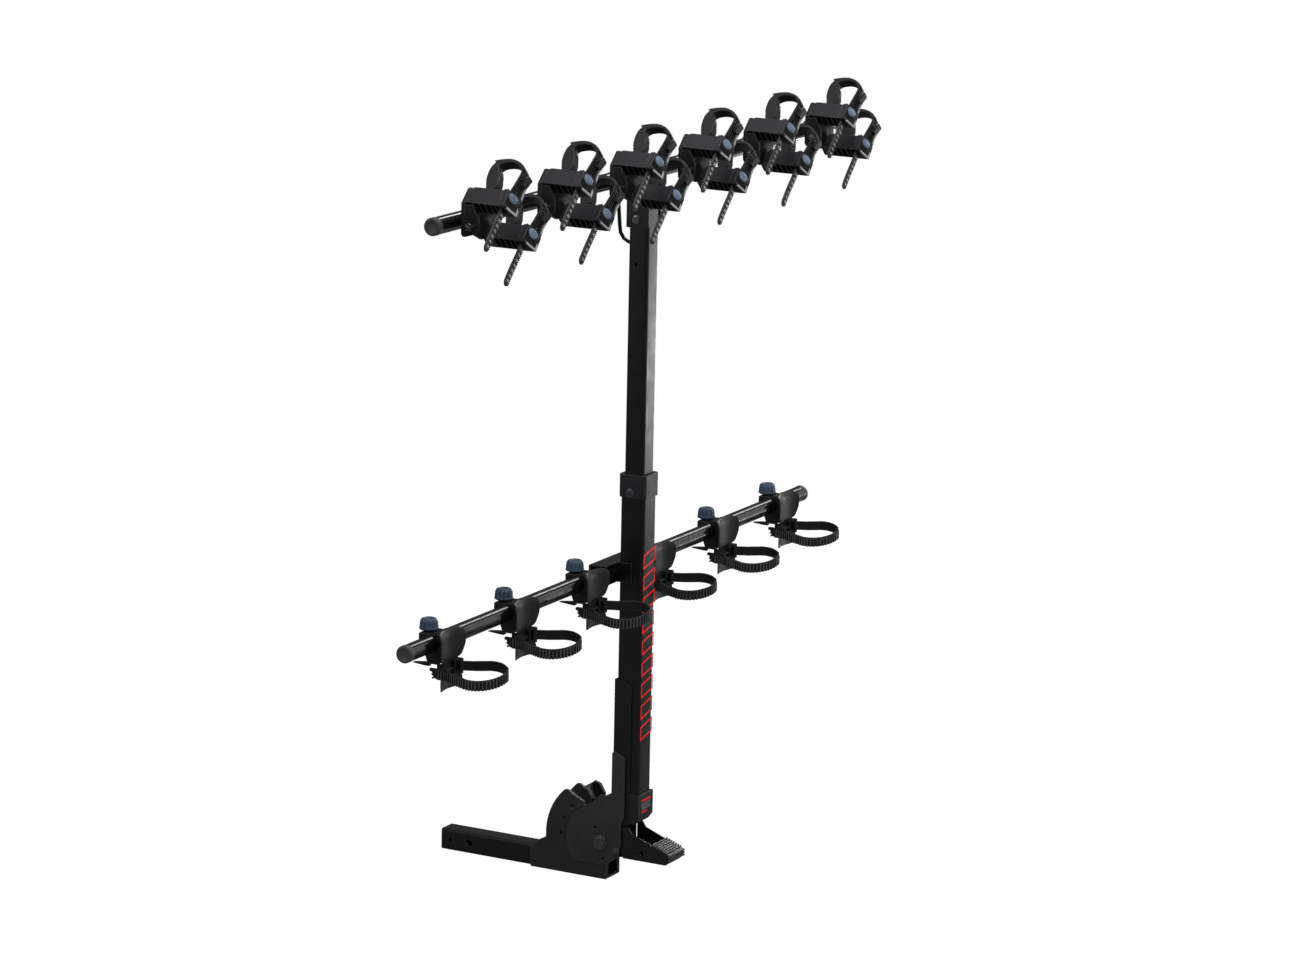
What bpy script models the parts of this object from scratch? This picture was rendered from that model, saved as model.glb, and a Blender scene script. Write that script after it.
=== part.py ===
"""Vertical six-bike rack for a 2 inch hitch receiver.

Units are metres, +Z is up, +Y points to the vehicle and +X runs along the two cross bars.
The origin is on the underside of the hitch bar, straight below the tilt pivot.
"""
from math import cos, pi, radians, sin

import bmesh
import bpy
from mathutils import Matrix, Vector

MM = 0.001
GAP = 0.3 * MM

# Hitch bar and tilt pivot
HITCH_SIZE = 50.8 * MM
HITCH_WALL = 5 * MM
HITCH_FRONT_Y = 439 * MM
HITCH_REAR_Y = -12 * MM
HITCH_PIN_Y = 363 * MM
HITCH_PIN_RADIUS = 8 * MM
CLIP_HOLE_Y = 415 * MM
CLIP_HOLE_RADIUS = 4 * MM
PIVOT_Z = 91 * MM
PIVOT_RADIUS = 8 * MM

# Plates of the tilt joint
BASE_PLATE_X = (25.7 * MM, 33.7 * MM)
BASE_FRONT_Y = 190 * MM
SECTOR_RADIUS = 150 * MM
SECTOR_TOP_DEG = 50
INDEX_RADIUS = 108 * MM
INDEX_ANGLES_DEG = (2, 22, 42)
INDEX_HOLE_RADIUS = 5.5 * MM
TILT_PLATE_X = (34.4 * MM, 40.4 * MM)
DISC_RADIUS = 90 * MM

# Mast
MAST_Y = -61 * MM
LOWER_MAST_SIZE = 62 * MM
LOWER_MAST_Z = (150 * MM, 960 * MM)
UPPER_MAST_SIZE = 50.8 * MM
UPPER_MAST_Z = (800 * MM, 1585 * MM)
MAST_WALL = 3 * MM
COLLAR_SIZE = 70 * MM
COLLAR_Z = (918 * MM, 972 * MM)
MID_BOLT_YZ = (-58 * MM, 930 * MM)
YOKE_BOLT_YZ = (-58 * MM, 1562 * MM)
MAST_BOLT_RADIUS = 5 * MM

# Cross bars and the six bike stations
BAR_RADIUS = 19.05 * MM
BAR_WALL = 2.5 * MM
BAR_HALF_LENGTH = 945 * MM
BAR_CLEARANCE = 0.3 * MM
LOWER_BAR_YZ = (-9.5 * MM, 741 * MM)
TOP_BAR_YZ = (-68 * MM, 1669 * MM)
STATION_SPACING = 321.5 * MM
STATION_COUNT = 6

# Handlebar cradles: two arms on a plate turned about Y
CRADLE_TURN = radians(45)
ARM_OFFSETS = (-69.5 * MM, 50.5 * MM)
ARM_HALF_WIDTH = 18 * MM
ARM_Z = (-19 * MM, 24 * MM)
ARM_BACK_Y = -40 * MM
NOSE_LEFT_S = 91 * MM
NOSE_RIGHT_S = 107 * MM
STRAP_ZERO_Z = 22 * MM
STRAP_HALF_WIDTH = 12 * MM
STRAP_HINGE_S = 26 * MM
STRAP_HINGE_H = -7 * MM
HINGE_PIN_RADIUS = 2.2 * MM
HINGE_HOLE_RADIUS = 2.6 * MM

# Wheel trays
TRAY_CLAMP_HALF_WIDTH = 28 * MM
TRAY_SKIN = 4 * MM
TRAY_HALF_WIDTH = 50 * MM
KNOB_Y = 23 * MM
KNOB_RADIUS = 21.3 * MM
KNOB_STUD_RADIUS = 3 * MM
WHEEL_STRAP_Z = (-67 * MM, -44.5 * MM)
WHEEL_HINGE_XY = (30 * MM, -40 * MM)

# Pedal and lock pin
PEDAL_HALF_WIDTH = 36 * MM
PEDAL_PIN_YZ = (-42 * MM, 78 * MM)
PEDAL_PIN_RADIUS = 4 * MM
LOCK_PIN_RADIUS = 5 * MM

COLOURS = {
    "black_metal": ((0.018, 0.018, 0.02), 0.42, 0.6),
    "black_plastic": ((0.03, 0.029, 0.034), 0.55, 0.0),
    "black_rubber": ((0.022, 0.022, 0.024), 0.7, 0.0),
    "blue_plastic": ((0.075, 0.11, 0.17), 0.45, 0.0),
    "dark_steel": ((0.07, 0.07, 0.075), 0.35, 1.0),
}


def clear_scene():
    for old in list(bpy.data.objects):
        bpy.data.objects.remove(old, do_unlink=True)


def make_material(name):
    colour, roughness, metallic = COLOURS[name]
    material = bpy.data.materials.new(name)
    material.use_nodes = True
    shader = material.node_tree.nodes["Principled BSDF"]
    shader.inputs["Base Color"].default_value = (*colour, 1)
    shader.inputs["Roughness"].default_value = roughness
    shader.inputs["Metallic"].default_value = metallic
    return material


# ---------------------------------------------------------------- outlines

def arc(centre, radius, start_deg, end_deg, steps):
    """Points on an arc, both ends included."""
    angles = [radians(start_deg + (end_deg - start_deg) * i / steps) for i in range(steps + 1)]
    return [(centre[0] + radius * cos(a), centre[1] + radius * sin(a)) for a in angles]


def circle(centre, radius, steps):
    return arc(centre, radius, 0, 360, steps)[:-1]


def rectangle(low, high):
    return [(low[0], low[1]), (high[0], low[1]), (high[0], high[1]), (low[0], high[1])]


def rounded_square(centre, size, radius, steps=3):
    """Square outline with round corners, counter-clockwise."""
    reach = size / 2 - radius
    points = []
    for turn, (sx, sy) in enumerate([(1, 1), (-1, 1), (-1, -1), (1, -1)]):
        corner = (centre[0] + sx * reach, centre[1] + sy * reach)
        points += arc(corner, radius, 90 * turn, 90 * turn + 90, steps)
    return points


def polar(centre, radius, angle_deg):
    return (centre[0] + radius * cos(radians(angle_deg)), centre[1] + radius * sin(radians(angle_deg)))


# ---------------------------------------------------------------- solids

def place(axis, along, u, v):
    """A point from its distance along an axis and its two other coordinates in X, Y, Z order."""
    if axis == "X":
        return (along, u, v)
    if axis == "Y":
        return (u, along, v)
    return (u, v, along)


def object_from(bm):
    bmesh.ops.recalc_face_normals(bm, faces=bm.faces)
    mesh = bpy.data.meshes.new("solid")
    bm.to_mesh(mesh)
    bm.free()
    solid = bpy.data.objects.new("solid", mesh)
    bpy.context.scene.collection.objects.link(solid)
    return solid


def skin(rings, closed=False):
    """A solid skinned over rings of points, capped at both ends unless the rings close on themselves."""
    bm = bmesh.new()
    loops = [[bm.verts.new(point) for point in ring] for ring in rings]
    count = len(loops[0])
    pairs = list(zip(loops, loops[1:]))
    if closed:
        pairs.append((loops[-1], loops[0]))
    for first, second in pairs:
        for i in range(count):
            j = (i + 1) % count
            bm.faces.new((first[i], first[j], second[j], second[i]))
    if not closed:
        bm.faces.new(loops[0])
        bm.faces.new(loops[-1])
    return object_from(bm)


def prism(outline, axis, low, high):
    return skin([[place(axis, along, u, v) for u, v in outline] for along in (low, high)])


def box(low, high):
    return prism(rectangle(low[:2], high[:2]), "Z", low[2], high[2])


def rod(axis, centre, radius, low, high, steps=24):
    return prism(circle(centre, radius, steps), axis, low, high)


def combine(base, tool, operation):
    """Apply one exact Boolean and drop the tool."""
    modifier = base.modifiers.new(operation.lower(), "BOOLEAN")
    modifier.operation = operation
    modifier.solver = "EXACT"
    modifier.object = tool
    bpy.context.view_layer.update()
    graph = bpy.context.evaluated_depsgraph_get()
    mesh = bpy.data.meshes.new_from_object(base.evaluated_get(graph))
    base.modifiers.clear()
    base.data = mesh
    bpy.data.objects.remove(tool, do_unlink=True)
    return base


def cut(base, *tools):
    for tool in tools:
        combine(base, tool, "DIFFERENCE")
    return base


def fuse(base, *tools):
    for tool in tools:
        combine(base, tool, "UNION")
    return base


def turn(solid, matrix):
    solid.data.transform(matrix)
    return solid


def finish(solid, name, material, origin=(0, 0, 0)):
    """Name a solid built in world coordinates and put its origin where it turns or rests."""
    solid.data.transform(Matrix.Translation(-Vector(origin)))
    solid.location = origin
    solid.name = name
    solid.data.name = name
    solid.data.materials.clear()
    solid.data.materials.append(material)
    solid.data.shade_smooth()
    solid.data.set_sharp_from_angle(angle=radians(35))
    return solid


def repeat(solid, name, origin):
    """Another object that shares a finished solid's mesh."""
    twin = bpy.data.objects.new(name, solid.data)
    twin.location = origin
    twin.rotation_euler = solid.rotation_euler
    bpy.context.scene.collection.objects.link(twin)
    return twin


def square_tube(centre, size, radius, wall, axis, low, high):
    outer = prism(rounded_square(centre, size, radius), axis, low, high)
    inner_radius = max(radius - wall, 1 * MM)
    inner = prism(rounded_square(centre, size - 2 * wall, inner_radius), axis, low - MM, high + MM)
    return cut(outer, inner)


def through_bolt(centre, radius, low, high, head):
    """A bolt along X with its washers, hexagon head and nut."""
    bolt = rod("X", centre, radius, low - head, high + head, 20)
    washer = 2 * MM
    for inner, outer in ((low, low - washer), (high, high + washer)):
        fuse(bolt, rod("X", centre, 2.1 * radius, min(inner, outer), max(inner, outer), 24))
    for inner, outer in ((low - washer, low - head), (high + washer, high + head)):
        fuse(bolt, rod("X", centre, 1.75 * radius, min(inner, outer), max(inner, outer), 6))
    return bolt


# ---------------------------------------------------------------- hitch bar and base

def build_hitch_bar(material):
    centre = (0, HITCH_SIZE / 2)
    bar = square_tube(centre, HITCH_SIZE, 5 * MM, HITCH_WALL, "Y", HITCH_REAR_Y, HITCH_FRONT_Y)
    reach = HITCH_SIZE
    cut(bar, rod("X", (HITCH_PIN_Y, HITCH_SIZE / 2), HITCH_PIN_RADIUS, -reach, reach, 28))
    cut(bar, rod("X", (CLIP_HOLE_Y, HITCH_SIZE / 2), CLIP_HOLE_RADIUS, -reach, 0, 20))
    finish(bar, "hitch_bar", material)


def base_plate_outline():
    """Side view of a base plate in (Y, Z): box side, ramp, indexing sector and pivot boss."""
    pivot = (0, PIVOT_Z)
    outline = [(HITCH_REAR_Y, 0), (BASE_FRONT_Y, 0), (BASE_FRONT_Y, 50 * MM)]
    outline += [(167 * MM, 69.5 * MM), (150 * MM, 79 * MM)]
    outline += arc(pivot, SECTOR_RADIUS, -3, SECTOR_TOP_DEG - 3, 8)
    outline += [polar(pivot, SECTOR_RADIUS - 6 * MM, SECTOR_TOP_DEG)]
    outline += [polar(pivot, 106 * MM, 58), polar(pivot, 98 * MM, 58.5)]
    outline += [polar(pivot, 60 * MM, 75)]
    outline += arc(pivot, 27 * MM, 85, 195, 8)
    outline += [(HITCH_REAR_Y, 60 * MM)]
    return outline


def build_base_plates(material):
    for side, name in ((-1, "base_plate_left"), (1, "base_plate_right")):
        low, high = sorted(side * x for x in BASE_PLATE_X)
        plate = prism(base_plate_outline(), "X", low, high)
        cut(plate, rod("X", (0, PIVOT_Z), PIVOT_RADIUS + 0.2 * MM, low - MM, high + MM, 28))
        for angle in INDEX_ANGLES_DEG:
            centre = polar((0, PIVOT_Z), INDEX_RADIUS, angle)
            cut(plate, rod("X", centre, INDEX_HOLE_RADIUS, low - MM, high + MM, 20))
        finish(plate, name, material)


# ---------------------------------------------------------------- tilt joint

def tilt_plate_outline(lock_lug):
    """Side view of a tilt plate: pivot disc with a flat foot, and a tongue up the mast's side."""
    pivot = (0, PIVOT_Z)
    outline = [(-16 * MM, 37 * MM), (72 * MM, 37 * MM)]
    if lock_lug:
        outline += arc(pivot, DISC_RADIUS, -30, -12, 2)
        outline += arc(polar(pivot, INDEX_RADIUS, 2), 15 * MM, -70, 74, 8)
        outline += arc(pivot, DISC_RADIUS, 16, 62, 5)
    else:
        outline += arc(pivot, DISC_RADIUS, -30, 62, 12)
    outline += [polar(pivot, 94 * MM, 66), polar(pivot, 94 * MM, 72), (14 * MM, 189 * MM)]
    outline += [(7 * MM, 200 * MM), (2 * MM, 204.5 * MM), (-19 * MM, 206 * MM)]
    outline += [(-25 * MM, 209 * MM), (-26.6 * MM, 214 * MM)]
    outline += [(-26.6 * MM, 310 * MM), (-30 * MM, 313.5 * MM), (-34 * MM, 313.5 * MM)]
    outline += [(-59.5 * MM, 301 * MM), (-59.5 * MM, 160 * MM), (-52 * MM, 140 * MM)]
    outline += arc(pivot, 52 * MM, 180, 252, 6)[:-1]
    return outline


def build_tilt_plates(material):
    for side, name in ((-1, "tilt_plate_left"), (1, "tilt_plate_right")):
        low, high = sorted(side * x for x in TILT_PLATE_X)
        plate = prism(tilt_plate_outline(side > 0), "X", low, high)
        holes = [((0, PIVOT_Z), PIVOT_RADIUS + 0.2 * MM, 28)]
        holes += [(PEDAL_PIN_YZ, PEDAL_PIN_RADIUS + 0.2 * MM, 20)]
        holes += [((14.6 * MM, 124.5 * MM), 3.5 * MM, 16), ((-6.5 * MM, 52 * MM), 3.5 * MM, 16)]
        if side > 0:
            holes += [(polar((0, PIVOT_Z), INDEX_RADIUS, 2), LOCK_PIN_RADIUS + GAP, 20)]
        for centre, radius, steps in holes:
            cut(plate, rod("X", centre, radius, low - MM, high + MM, steps))
        finish(plate, name, material)


def build_pivot_bolt(material):
    reach = TILT_PLATE_X[1] + GAP
    bolt = through_bolt((0, PIVOT_Z), PIVOT_RADIUS, -reach, reach, 11 * MM)
    finish(bolt, "pivot_bolt", material, (0, 0, PIVOT_Z))


def build_stop_block(material):
    """Cross block between the tilt plates that rests on the ends of both base sectors."""
    pivot = (0, PIVOT_Z)
    corners = ((92, 63), (130, 61), (136, 66), (126, 71.5), (102, 74.5), (86, 71))
    block = prism([polar(pivot, r * MM, a) for r, a in corners], "X", -34.1 * MM, 34.1 * MM)
    hollow = ((98, 66.5), (150, 64.5), (150, 90), (98, 90))
    cut(block, prism([polar(pivot, r * MM, a) for r, a in hollow], "X", -24 * MM, 24 * MM))
    finish(block, "stop_block", material)


def build_lock(material, steel):
    """Spring plunger on the right tilt plate: a housing and the pin that enters the sector."""
    centre = polar((0, PIVOT_Z), INDEX_RADIUS, 2)
    start = TILT_PLATE_X[1] + GAP
    end = 62 * MM
    bore = 8.5 * MM
    wall = 3 * MM
    housing = rod("X", centre, 12 * MM, start, end, 24)
    cut(housing, rod("X", centre, bore, start - MM, end - wall, 24))
    cut(housing, rod("X", centre, LOCK_PIN_RADIUS + GAP, start, end + MM, 20))
    finish(housing, "lock_housing", material)
    pin = rod("X", centre, LOCK_PIN_RADIUS, BASE_PLATE_X[1] + 0.4 * MM, 70 * MM, 20)
    fuse(pin, rod("X", centre, 8 * MM, 42 * MM, 45 * MM, 24))
    fuse(pin, rod("X", centre, 8 * MM, 67 * MM, 72 * MM, 24))
    finish(pin, "lock_pin", steel, (BASE_PLATE_X[1] + 0.4 * MM, *centre))


def build_pedal(material, rubber, steel):
    """Foot pedal: an open channel on a pin across the tilt plates, with a ribbed tread."""
    rear, front = -57 * MM, -178 * MM
    floor_z, wall = 60 * MM, 3 * MM
    slope_start, slope_end = (-80 * MM, 122 * MM), (-175 * MM, 86 * MM)
    side = [(rear, floor_z), (-170 * MM, floor_z), (front, 68 * MM), (front, 83 * MM)]
    side += [slope_end, slope_start, (-70 * MM, 136 * MM), (rear, 136 * MM)]
    pedal = prism(side, "X", -PEDAL_HALF_WIDTH, PEDAL_HALF_WIDTH)
    inner = PEDAL_HALF_WIDTH - wall
    hollow = [(rear + MM, floor_z + wall), (-167 * MM, floor_z + wall), (-174 * MM, 70 * MM)]
    hollow += [(-174 * MM, 81 * MM), (-140 * MM, 95 * MM), (-140 * MM, 140 * MM), (rear + MM, 140 * MM)]
    cut(pedal, prism(hollow, "X", -inner, inner))
    lug_x = (29.2 * MM, inner + 0.5 * MM)
    lug = [(-75 * MM, 66 * MM), PEDAL_PIN_YZ, (-75 * MM, 100 * MM)]
    lug[1:2] = arc(PEDAL_PIN_YZ, 8.5 * MM, -80, 80, 8)
    for sign in (-1, 1):
        low, high = sorted(sign * x for x in lug_x)
        fuse(pedal, prism(lug, "X", low, high))
    cut(pedal, rod("X", PEDAL_PIN_YZ, PEDAL_PIN_RADIUS + 0.2 * MM, -60 * MM, 60 * MM, 20))
    cut(pedal, rod("X", (-107 * MM, 79 * MM), 6 * MM, -60 * MM, 60 * MM, 20))
    finish(pedal, "tilt_pedal", material, (0, *PEDAL_PIN_YZ))
    build_tread(rubber, slope_start, slope_end)
    reach = TILT_PLATE_X[1] + GAP
    pin = rod("X", PEDAL_PIN_YZ, PEDAL_PIN_RADIUS, -reach - MM, reach + MM, 20)
    for low in (-reach - 3 * MM, reach):
        fuse(pin, rod("X", PEDAL_PIN_YZ, 7 * MM, low, low + 3 * MM, 20))
    finish(pin, "pedal_pin", steel, (0, *PEDAL_PIN_YZ))


def build_tread(material, slope_start, slope_end):
    """Ribbed pad on the pedal's sloping end and down over its nose."""
    start = Vector(slope_start)
    run = (Vector(slope_end) - start).normalized()
    up = Vector((run[1], -run[0]))
    if up[1] < 0:
        up = -up
    length = (Vector(slope_end) - start).length
    ribs, first = 7, length - 44 * MM
    pitch = (length - first) / ribs
    low, high = 1.8 * MM, 4.6 * MM
    outline = [start + run * first + up * GAP]
    for i in range(ribs):
        at = first + pitch * i
        outline += [start + run * at + up * low, start + run * at + up * high]
        outline += [start + run * (at + pitch * 0.55) + up * high, start + run * (at + pitch * 0.55) + up * low]
    nose_y = -178 * MM - GAP
    for top in (85 * MM, 79 * MM, 73 * MM):
        outline += [(nose_y - low, top), (nose_y - high, top), (nose_y - high, top - 3.3 * MM)]
        outline += [(nose_y - low, top - 3.3 * MM)]
    outline += [(nose_y, 69.7 * MM)]
    outline += [(nose_y, 83.3 * MM), start + run * length + up * GAP]
    pad = prism([tuple(point) for point in outline], "X", -PEDAL_HALF_WIDTH, PEDAL_HALF_WIDTH)
    finish(pad, "pedal_tread", material, (0, *PEDAL_PIN_YZ))


# ---------------------------------------------------------------- mast

def build_mast(metal, plastic, steel):
    centre = (0, MAST_Y)
    lower = square_tube(centre, LOWER_MAST_SIZE, 9 * MM, MAST_WALL, "Z", *LOWER_MAST_Z)
    upper = square_tube(centre, UPPER_MAST_SIZE, 7 * MM, MAST_WALL, "Z", *UPPER_MAST_Z)
    clearance = MAST_BOLT_RADIUS + 0.2 * MM
    reach = COLLAR_SIZE
    for tube in (lower, upper):
        cut(tube, rod("X", MID_BOLT_YZ, clearance, -reach, reach, 20))
    cut(upper, rod("X", YOKE_BOLT_YZ, clearance, -reach, reach, 20))
    cut(upper, rod("X", (-55 * MM, 1457 * MM), 4 * MM, -reach, reach, 16))
    finish(lower, "lower_mast", metal)
    finish(upper, "upper_mast", metal)
    build_sleeve(metal)
    build_foot_cover(plastic)
    build_collar(plastic)
    bolt_reach = COLLAR_SIZE / 2 + GAP
    finish(through_bolt(MID_BOLT_YZ, MAST_BOLT_RADIUS, -bolt_reach, bolt_reach, 7 * MM), "mid_bolt", steel)


def build_sleeve(material):
    """Channel around the rear of the lower mast, welded between the tilt plates."""
    half, wall = 34.1 * MM, 2.8 * MM
    rear = -26.8 * MM
    outer = prism(rectangle((-half, -70.9 * MM), (half, rear)), "Z", 140 * MM, 487 * MM)
    inner = half - wall
    cut(outer, prism(rectangle((-inner, -80 * MM), (inner, rear - wall)), "Z", 130 * MM, 500 * MM))
    wedge = [(-40 * MM, 487.5 * MM), (-72 * MM, 471 * MM), (-72 * MM, 495 * MM)]
    cut(outer, prism(wedge, "X", -50 * MM, 50 * MM))
    finish(outer, "mast_sleeve", material)


def build_foot_cover(material):
    """Cap around the front half of the mast's lower end."""
    half, rear, front = 35 * MM, -71.4 * MM, -96.5 * MM
    cover = box((-half, front, 145 * MM), (half, rear, 216 * MM))
    inner = LOWER_MAST_SIZE / 2 + GAP
    cut(cover, box((-inner, MAST_Y - inner, 149.5 * MM), (inner, rear + MM, 220 * MM)))
    wedge = [(front - MM, 162 * MM), (front - MM, 144 * MM), (front + 12 * MM, 144 * MM)]
    cut(cover, prism(wedge, "X", -40 * MM, 40 * MM))
    finish(cover, "foot_cover", material)


def build_collar(material):
    """Collar that caps the lower mast and guides the upper one."""
    centre = (0, MAST_Y)
    collar = prism(rounded_square(centre, COLLAR_SIZE, 10 * MM), "Z", *COLLAR_Z)
    step = LOWER_MAST_Z[1] + GAP
    bore = rounded_square(centre, LOWER_MAST_SIZE + 2 * GAP, 9 * MM)
    cut(collar, prism(bore, "Z", COLLAR_Z[0] - MM, step))
    guide = rounded_square(centre, UPPER_MAST_SIZE + 2 * GAP, 7 * MM)
    cut(collar, prism(guide, "Z", step - MM, COLLAR_Z[1] + MM))
    clearance = MAST_BOLT_RADIUS + 0.2 * MM
    cut(collar, rod("X", MID_BOLT_YZ, clearance, -COLLAR_SIZE, COLLAR_SIZE, 20))
    finish(collar, "mid_collar", material)


# ---------------------------------------------------------------- cross bars

def build_bar(name, centre, material):
    """Round tube with closed ends and one drain hole under its middle."""
    end_wall = 4 * MM
    chamfer = 1.2 * MM
    half = BAR_HALF_LENGTH
    stations = ((-half, -chamfer), (-half + chamfer, 0), (half - chamfer, 0), (half, -chamfer))
    rings = [[place("X", x, *p) for p in circle(centre, BAR_RADIUS + grow, 32)] for x, grow in stations]
    bar = skin(rings)
    cut(bar, rod("X", centre, BAR_RADIUS - BAR_WALL, -half + end_wall, half - end_wall, 32))
    cut(bar, rod("Z", (0, centre[0]), 2.5 * MM, centre[1] - BAR_RADIUS - MM, centre[1], 12))
    finish(bar, name, material)


def build_top_yoke(material, steel):
    """Channel bolted around the upper mast's top, with ears that hold the top bar."""
    inner = UPPER_MAST_SIZE / 2 + GAP
    outer = inner + 4 * MM
    rear = MAST_Y + outer
    bottom = 1542 * MM
    side = [(-84 * MM, bottom), (rear, bottom), (rear, 1642 * MM)]
    side += arc(TOP_BAR_YZ, 29 * MM, 10, 190, 12)
    side += [(-97 * MM, 1640 * MM), (-89 * MM, 1600 * MM), (-89 * MM, bottom + 5 * MM)]
    yoke = prism(side, "X", -outer, outer)
    hollow = rectangle((-inner, -120 * MM), (inner, MAST_Y + inner))
    cut(yoke, prism(hollow, "Z", bottom - MM, 1720 * MM))
    cut(yoke, rod("X", TOP_BAR_YZ, BAR_RADIUS + BAR_CLEARANCE, -60 * MM, 60 * MM, 32))
    clearance = MAST_BOLT_RADIUS + 0.2 * MM
    cut(yoke, rod("X", YOKE_BOLT_YZ, clearance, -60 * MM, 60 * MM, 20))
    finish(yoke, "top_yoke", material)
    reach = outer + GAP
    finish(through_bolt(YOKE_BOLT_YZ, MAST_BOLT_RADIUS, -reach, reach, 6.5 * MM), "yoke_bolt", steel)


def build_lower_bracket(material):
    """Channel over the lower bar's back, with two ears on the mast's sides."""
    y, z = LOWER_BAR_YZ
    room = BAR_RADIUS + BAR_CLEARANCE
    wall = 4 * MM
    open_y = MAST_Y + LOWER_MAST_SIZE / 2 + 1.2 * MM
    half = 95 * MM
    bracket = box((-half, open_y, z - room - wall), (half, y + room + wall, z + room + wall))
    cut(bracket, box((-half - MM, open_y - MM, z - room), (half + MM, y + room, z + room)))
    ear_x = (LOWER_MAST_SIZE / 2 + 0.4 * MM, LOWER_MAST_SIZE / 2 + 4.4 * MM)
    for sign in (-1, 1):
        low, high = sorted(sign * x for x in ear_x)
        ear = prism(rectangle((-66 * MM, z - room - wall), (y - 4 * MM, z + room + wall)), "X", low, high)
        cut(ear, rod("X", (y, z), room, low - MM, high + MM, 32))
        fuse(bracket, ear)
    finish(bracket, "lower_bar_bracket", material)


def build_lock_loop(material):
    """Bent rod behind the mast's top that takes a cable lock."""
    radius = 4.5 * MM
    knots = [(-35.2, 1500), (-22, 1504), (-9, 1511), (-1, 1523), (1.5, 1540), (3.5, 1565)]
    knots += [(5.5, 1590), (4, 1612), (-4, 1627), (-17, 1633), (-30.9, 1634)]
    points = [Vector((0, y * MM, z * MM)) for y, z in knots]
    rings = []
    for i, point in enumerate(points):
        along = (points[min(i + 1, len(points) - 1)] - points[max(i - 1, 0)]).normalized()
        if i in (0, len(points) - 1):
            along = Vector((0, 1 if i == 0 else -1, 0))
        side = Vector((1, 0, 0))
        up = side.cross(along)
        spokes = [radians(36 * k) for k in range(10)]
        rings.append([point + side * radius * cos(a) + up * radius * sin(a) for a in spokes])
    finish(skin(rings), "lock_loop", material)


# ---------------------------------------------------------------- handlebar cradles

def cradle_plate_outline():
    """Front view (X, Z) of the plate that carries both arms."""
    points = [(-77.3, 46.2), (-77.3, -20), (-71, -27), (-34, -27), (0, -42), (14, -41), (35, -62)]
    points += [(65.4, -31.5), (65.4, 14), (58, 22), (34, 27), (0, 46), (-20.7, 51.8), (-44.8, 78.7)]
    return [(x * MM, z * MM) for x, z in points]


def cradle_arm(offset):
    """One arm in the turned frame: a bar with a hinge notch on top and an open slot in its skewed nose."""
    back, (bottom, top) = ARM_BACK_Y + MM, ARM_Z
    left, right = offset - ARM_HALF_WIDTH, offset + ARM_HALF_WIDTH
    plan = [(left, ARM_BACK_Y - NOSE_LEFT_S), (right, ARM_BACK_Y - NOSE_RIGHT_S), (right, back), (left, back)]
    arm = prism(plan, "Z", bottom, top)
    slot = STRAP_HALF_WIDTH + 0.6 * MM
    nose = ARM_BACK_Y - 71 * MM
    cut(arm, box((offset - slot, nose - 60 * MM, bottom - MM), (offset + slot, nose, top + MM)))
    hinge_y = ARM_BACK_Y - STRAP_HINGE_S
    hinge_z = STRAP_ZERO_Z + STRAP_HINGE_H
    notch_low = (offset - slot, hinge_y - 16 * MM, hinge_z - 8 * MM)
    notch_high = (offset + slot, hinge_y + 8.5 * MM, top + MM)
    cut(arm, box(notch_low, notch_high))
    pin = rod("X", (hinge_y, hinge_z), HINGE_PIN_RADIUS, offset - slot - MM, offset + slot + MM, 12)
    fuse(arm, pin)
    return turn(arm, Matrix.Rotation(CRADLE_TURN, 4, "Y"))


def build_cradles(material):
    """Six cradles, each a bar clamp, a plate and two arms, set in the frame of their bar."""
    plate = prism(cradle_plate_outline(), "Y", ARM_BACK_Y, ARM_BACK_Y + 8 * MM)
    clamp = box((20 * MM, ARM_BACK_Y + MM, -25 * MM), (62 * MM, 26 * MM, 25 * MM))
    cradle = fuse(plate, clamp, *[cradle_arm(offset) for offset in ARM_OFFSETS])
    web = [(1, 44), (1, -26), (-30, -18), (-35, -8), (-34, 18), (-20, 44)]
    web = [(ARM_BACK_Y + y * MM, z * MM) for y, z in web]
    fuse(cradle, prism(web, "X", -77 * MM, -71 * MM))
    cut(cradle, rod("X", (0, 0), BAR_RADIUS + BAR_CLEARANCE, -80 * MM, 80 * MM, 32))
    cut(cradle, box((10 * MM, 10 * MM, -1.5 * MM), (80 * MM, 40 * MM, 1.5 * MM)))
    finish(cradle, "cradle_1", material)
    for number, x in enumerate(station_places(), start=1):
        spot = (x, *TOP_BAR_YZ)
        if number == 1:
            cradle.location = spot
        else:
            repeat(cradle, f"cradle_{number}", spot)


def cradle_strap_outline():
    """Side view of a closed strap: distance out from the plate, and height over the arm."""
    outer = [(31, 0), (27.5, 8), (20.5, 27), (18, 44), (19.5, 60), (24, 75), (36, 81), (52, 84.3)]
    outer += [(68, 83.5), (82, 78), (95, 70), (104, 61), (113, 50.5), (107, 24), (99, 30), (94.5, 12)]
    outer += [(89, -8), (82, -30), (80, -42), (83, -75), (84.5, -110), (88, -146)]
    inner = [(83, -148), (80, -110), (78.5, -75), (75, -40), (78, -25), (84, -8), (88, 10), (92, 32)]
    inner += [(94, 48), (88, 62), (75, 73), (65, 75), (54, 74), (42, 70), (37, 63), (43, 49), (52, 25)]
    inner += [(52, 9), (36, 0)]
    return [(s * MM, h * MM) for s, h in outer + inner]


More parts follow.
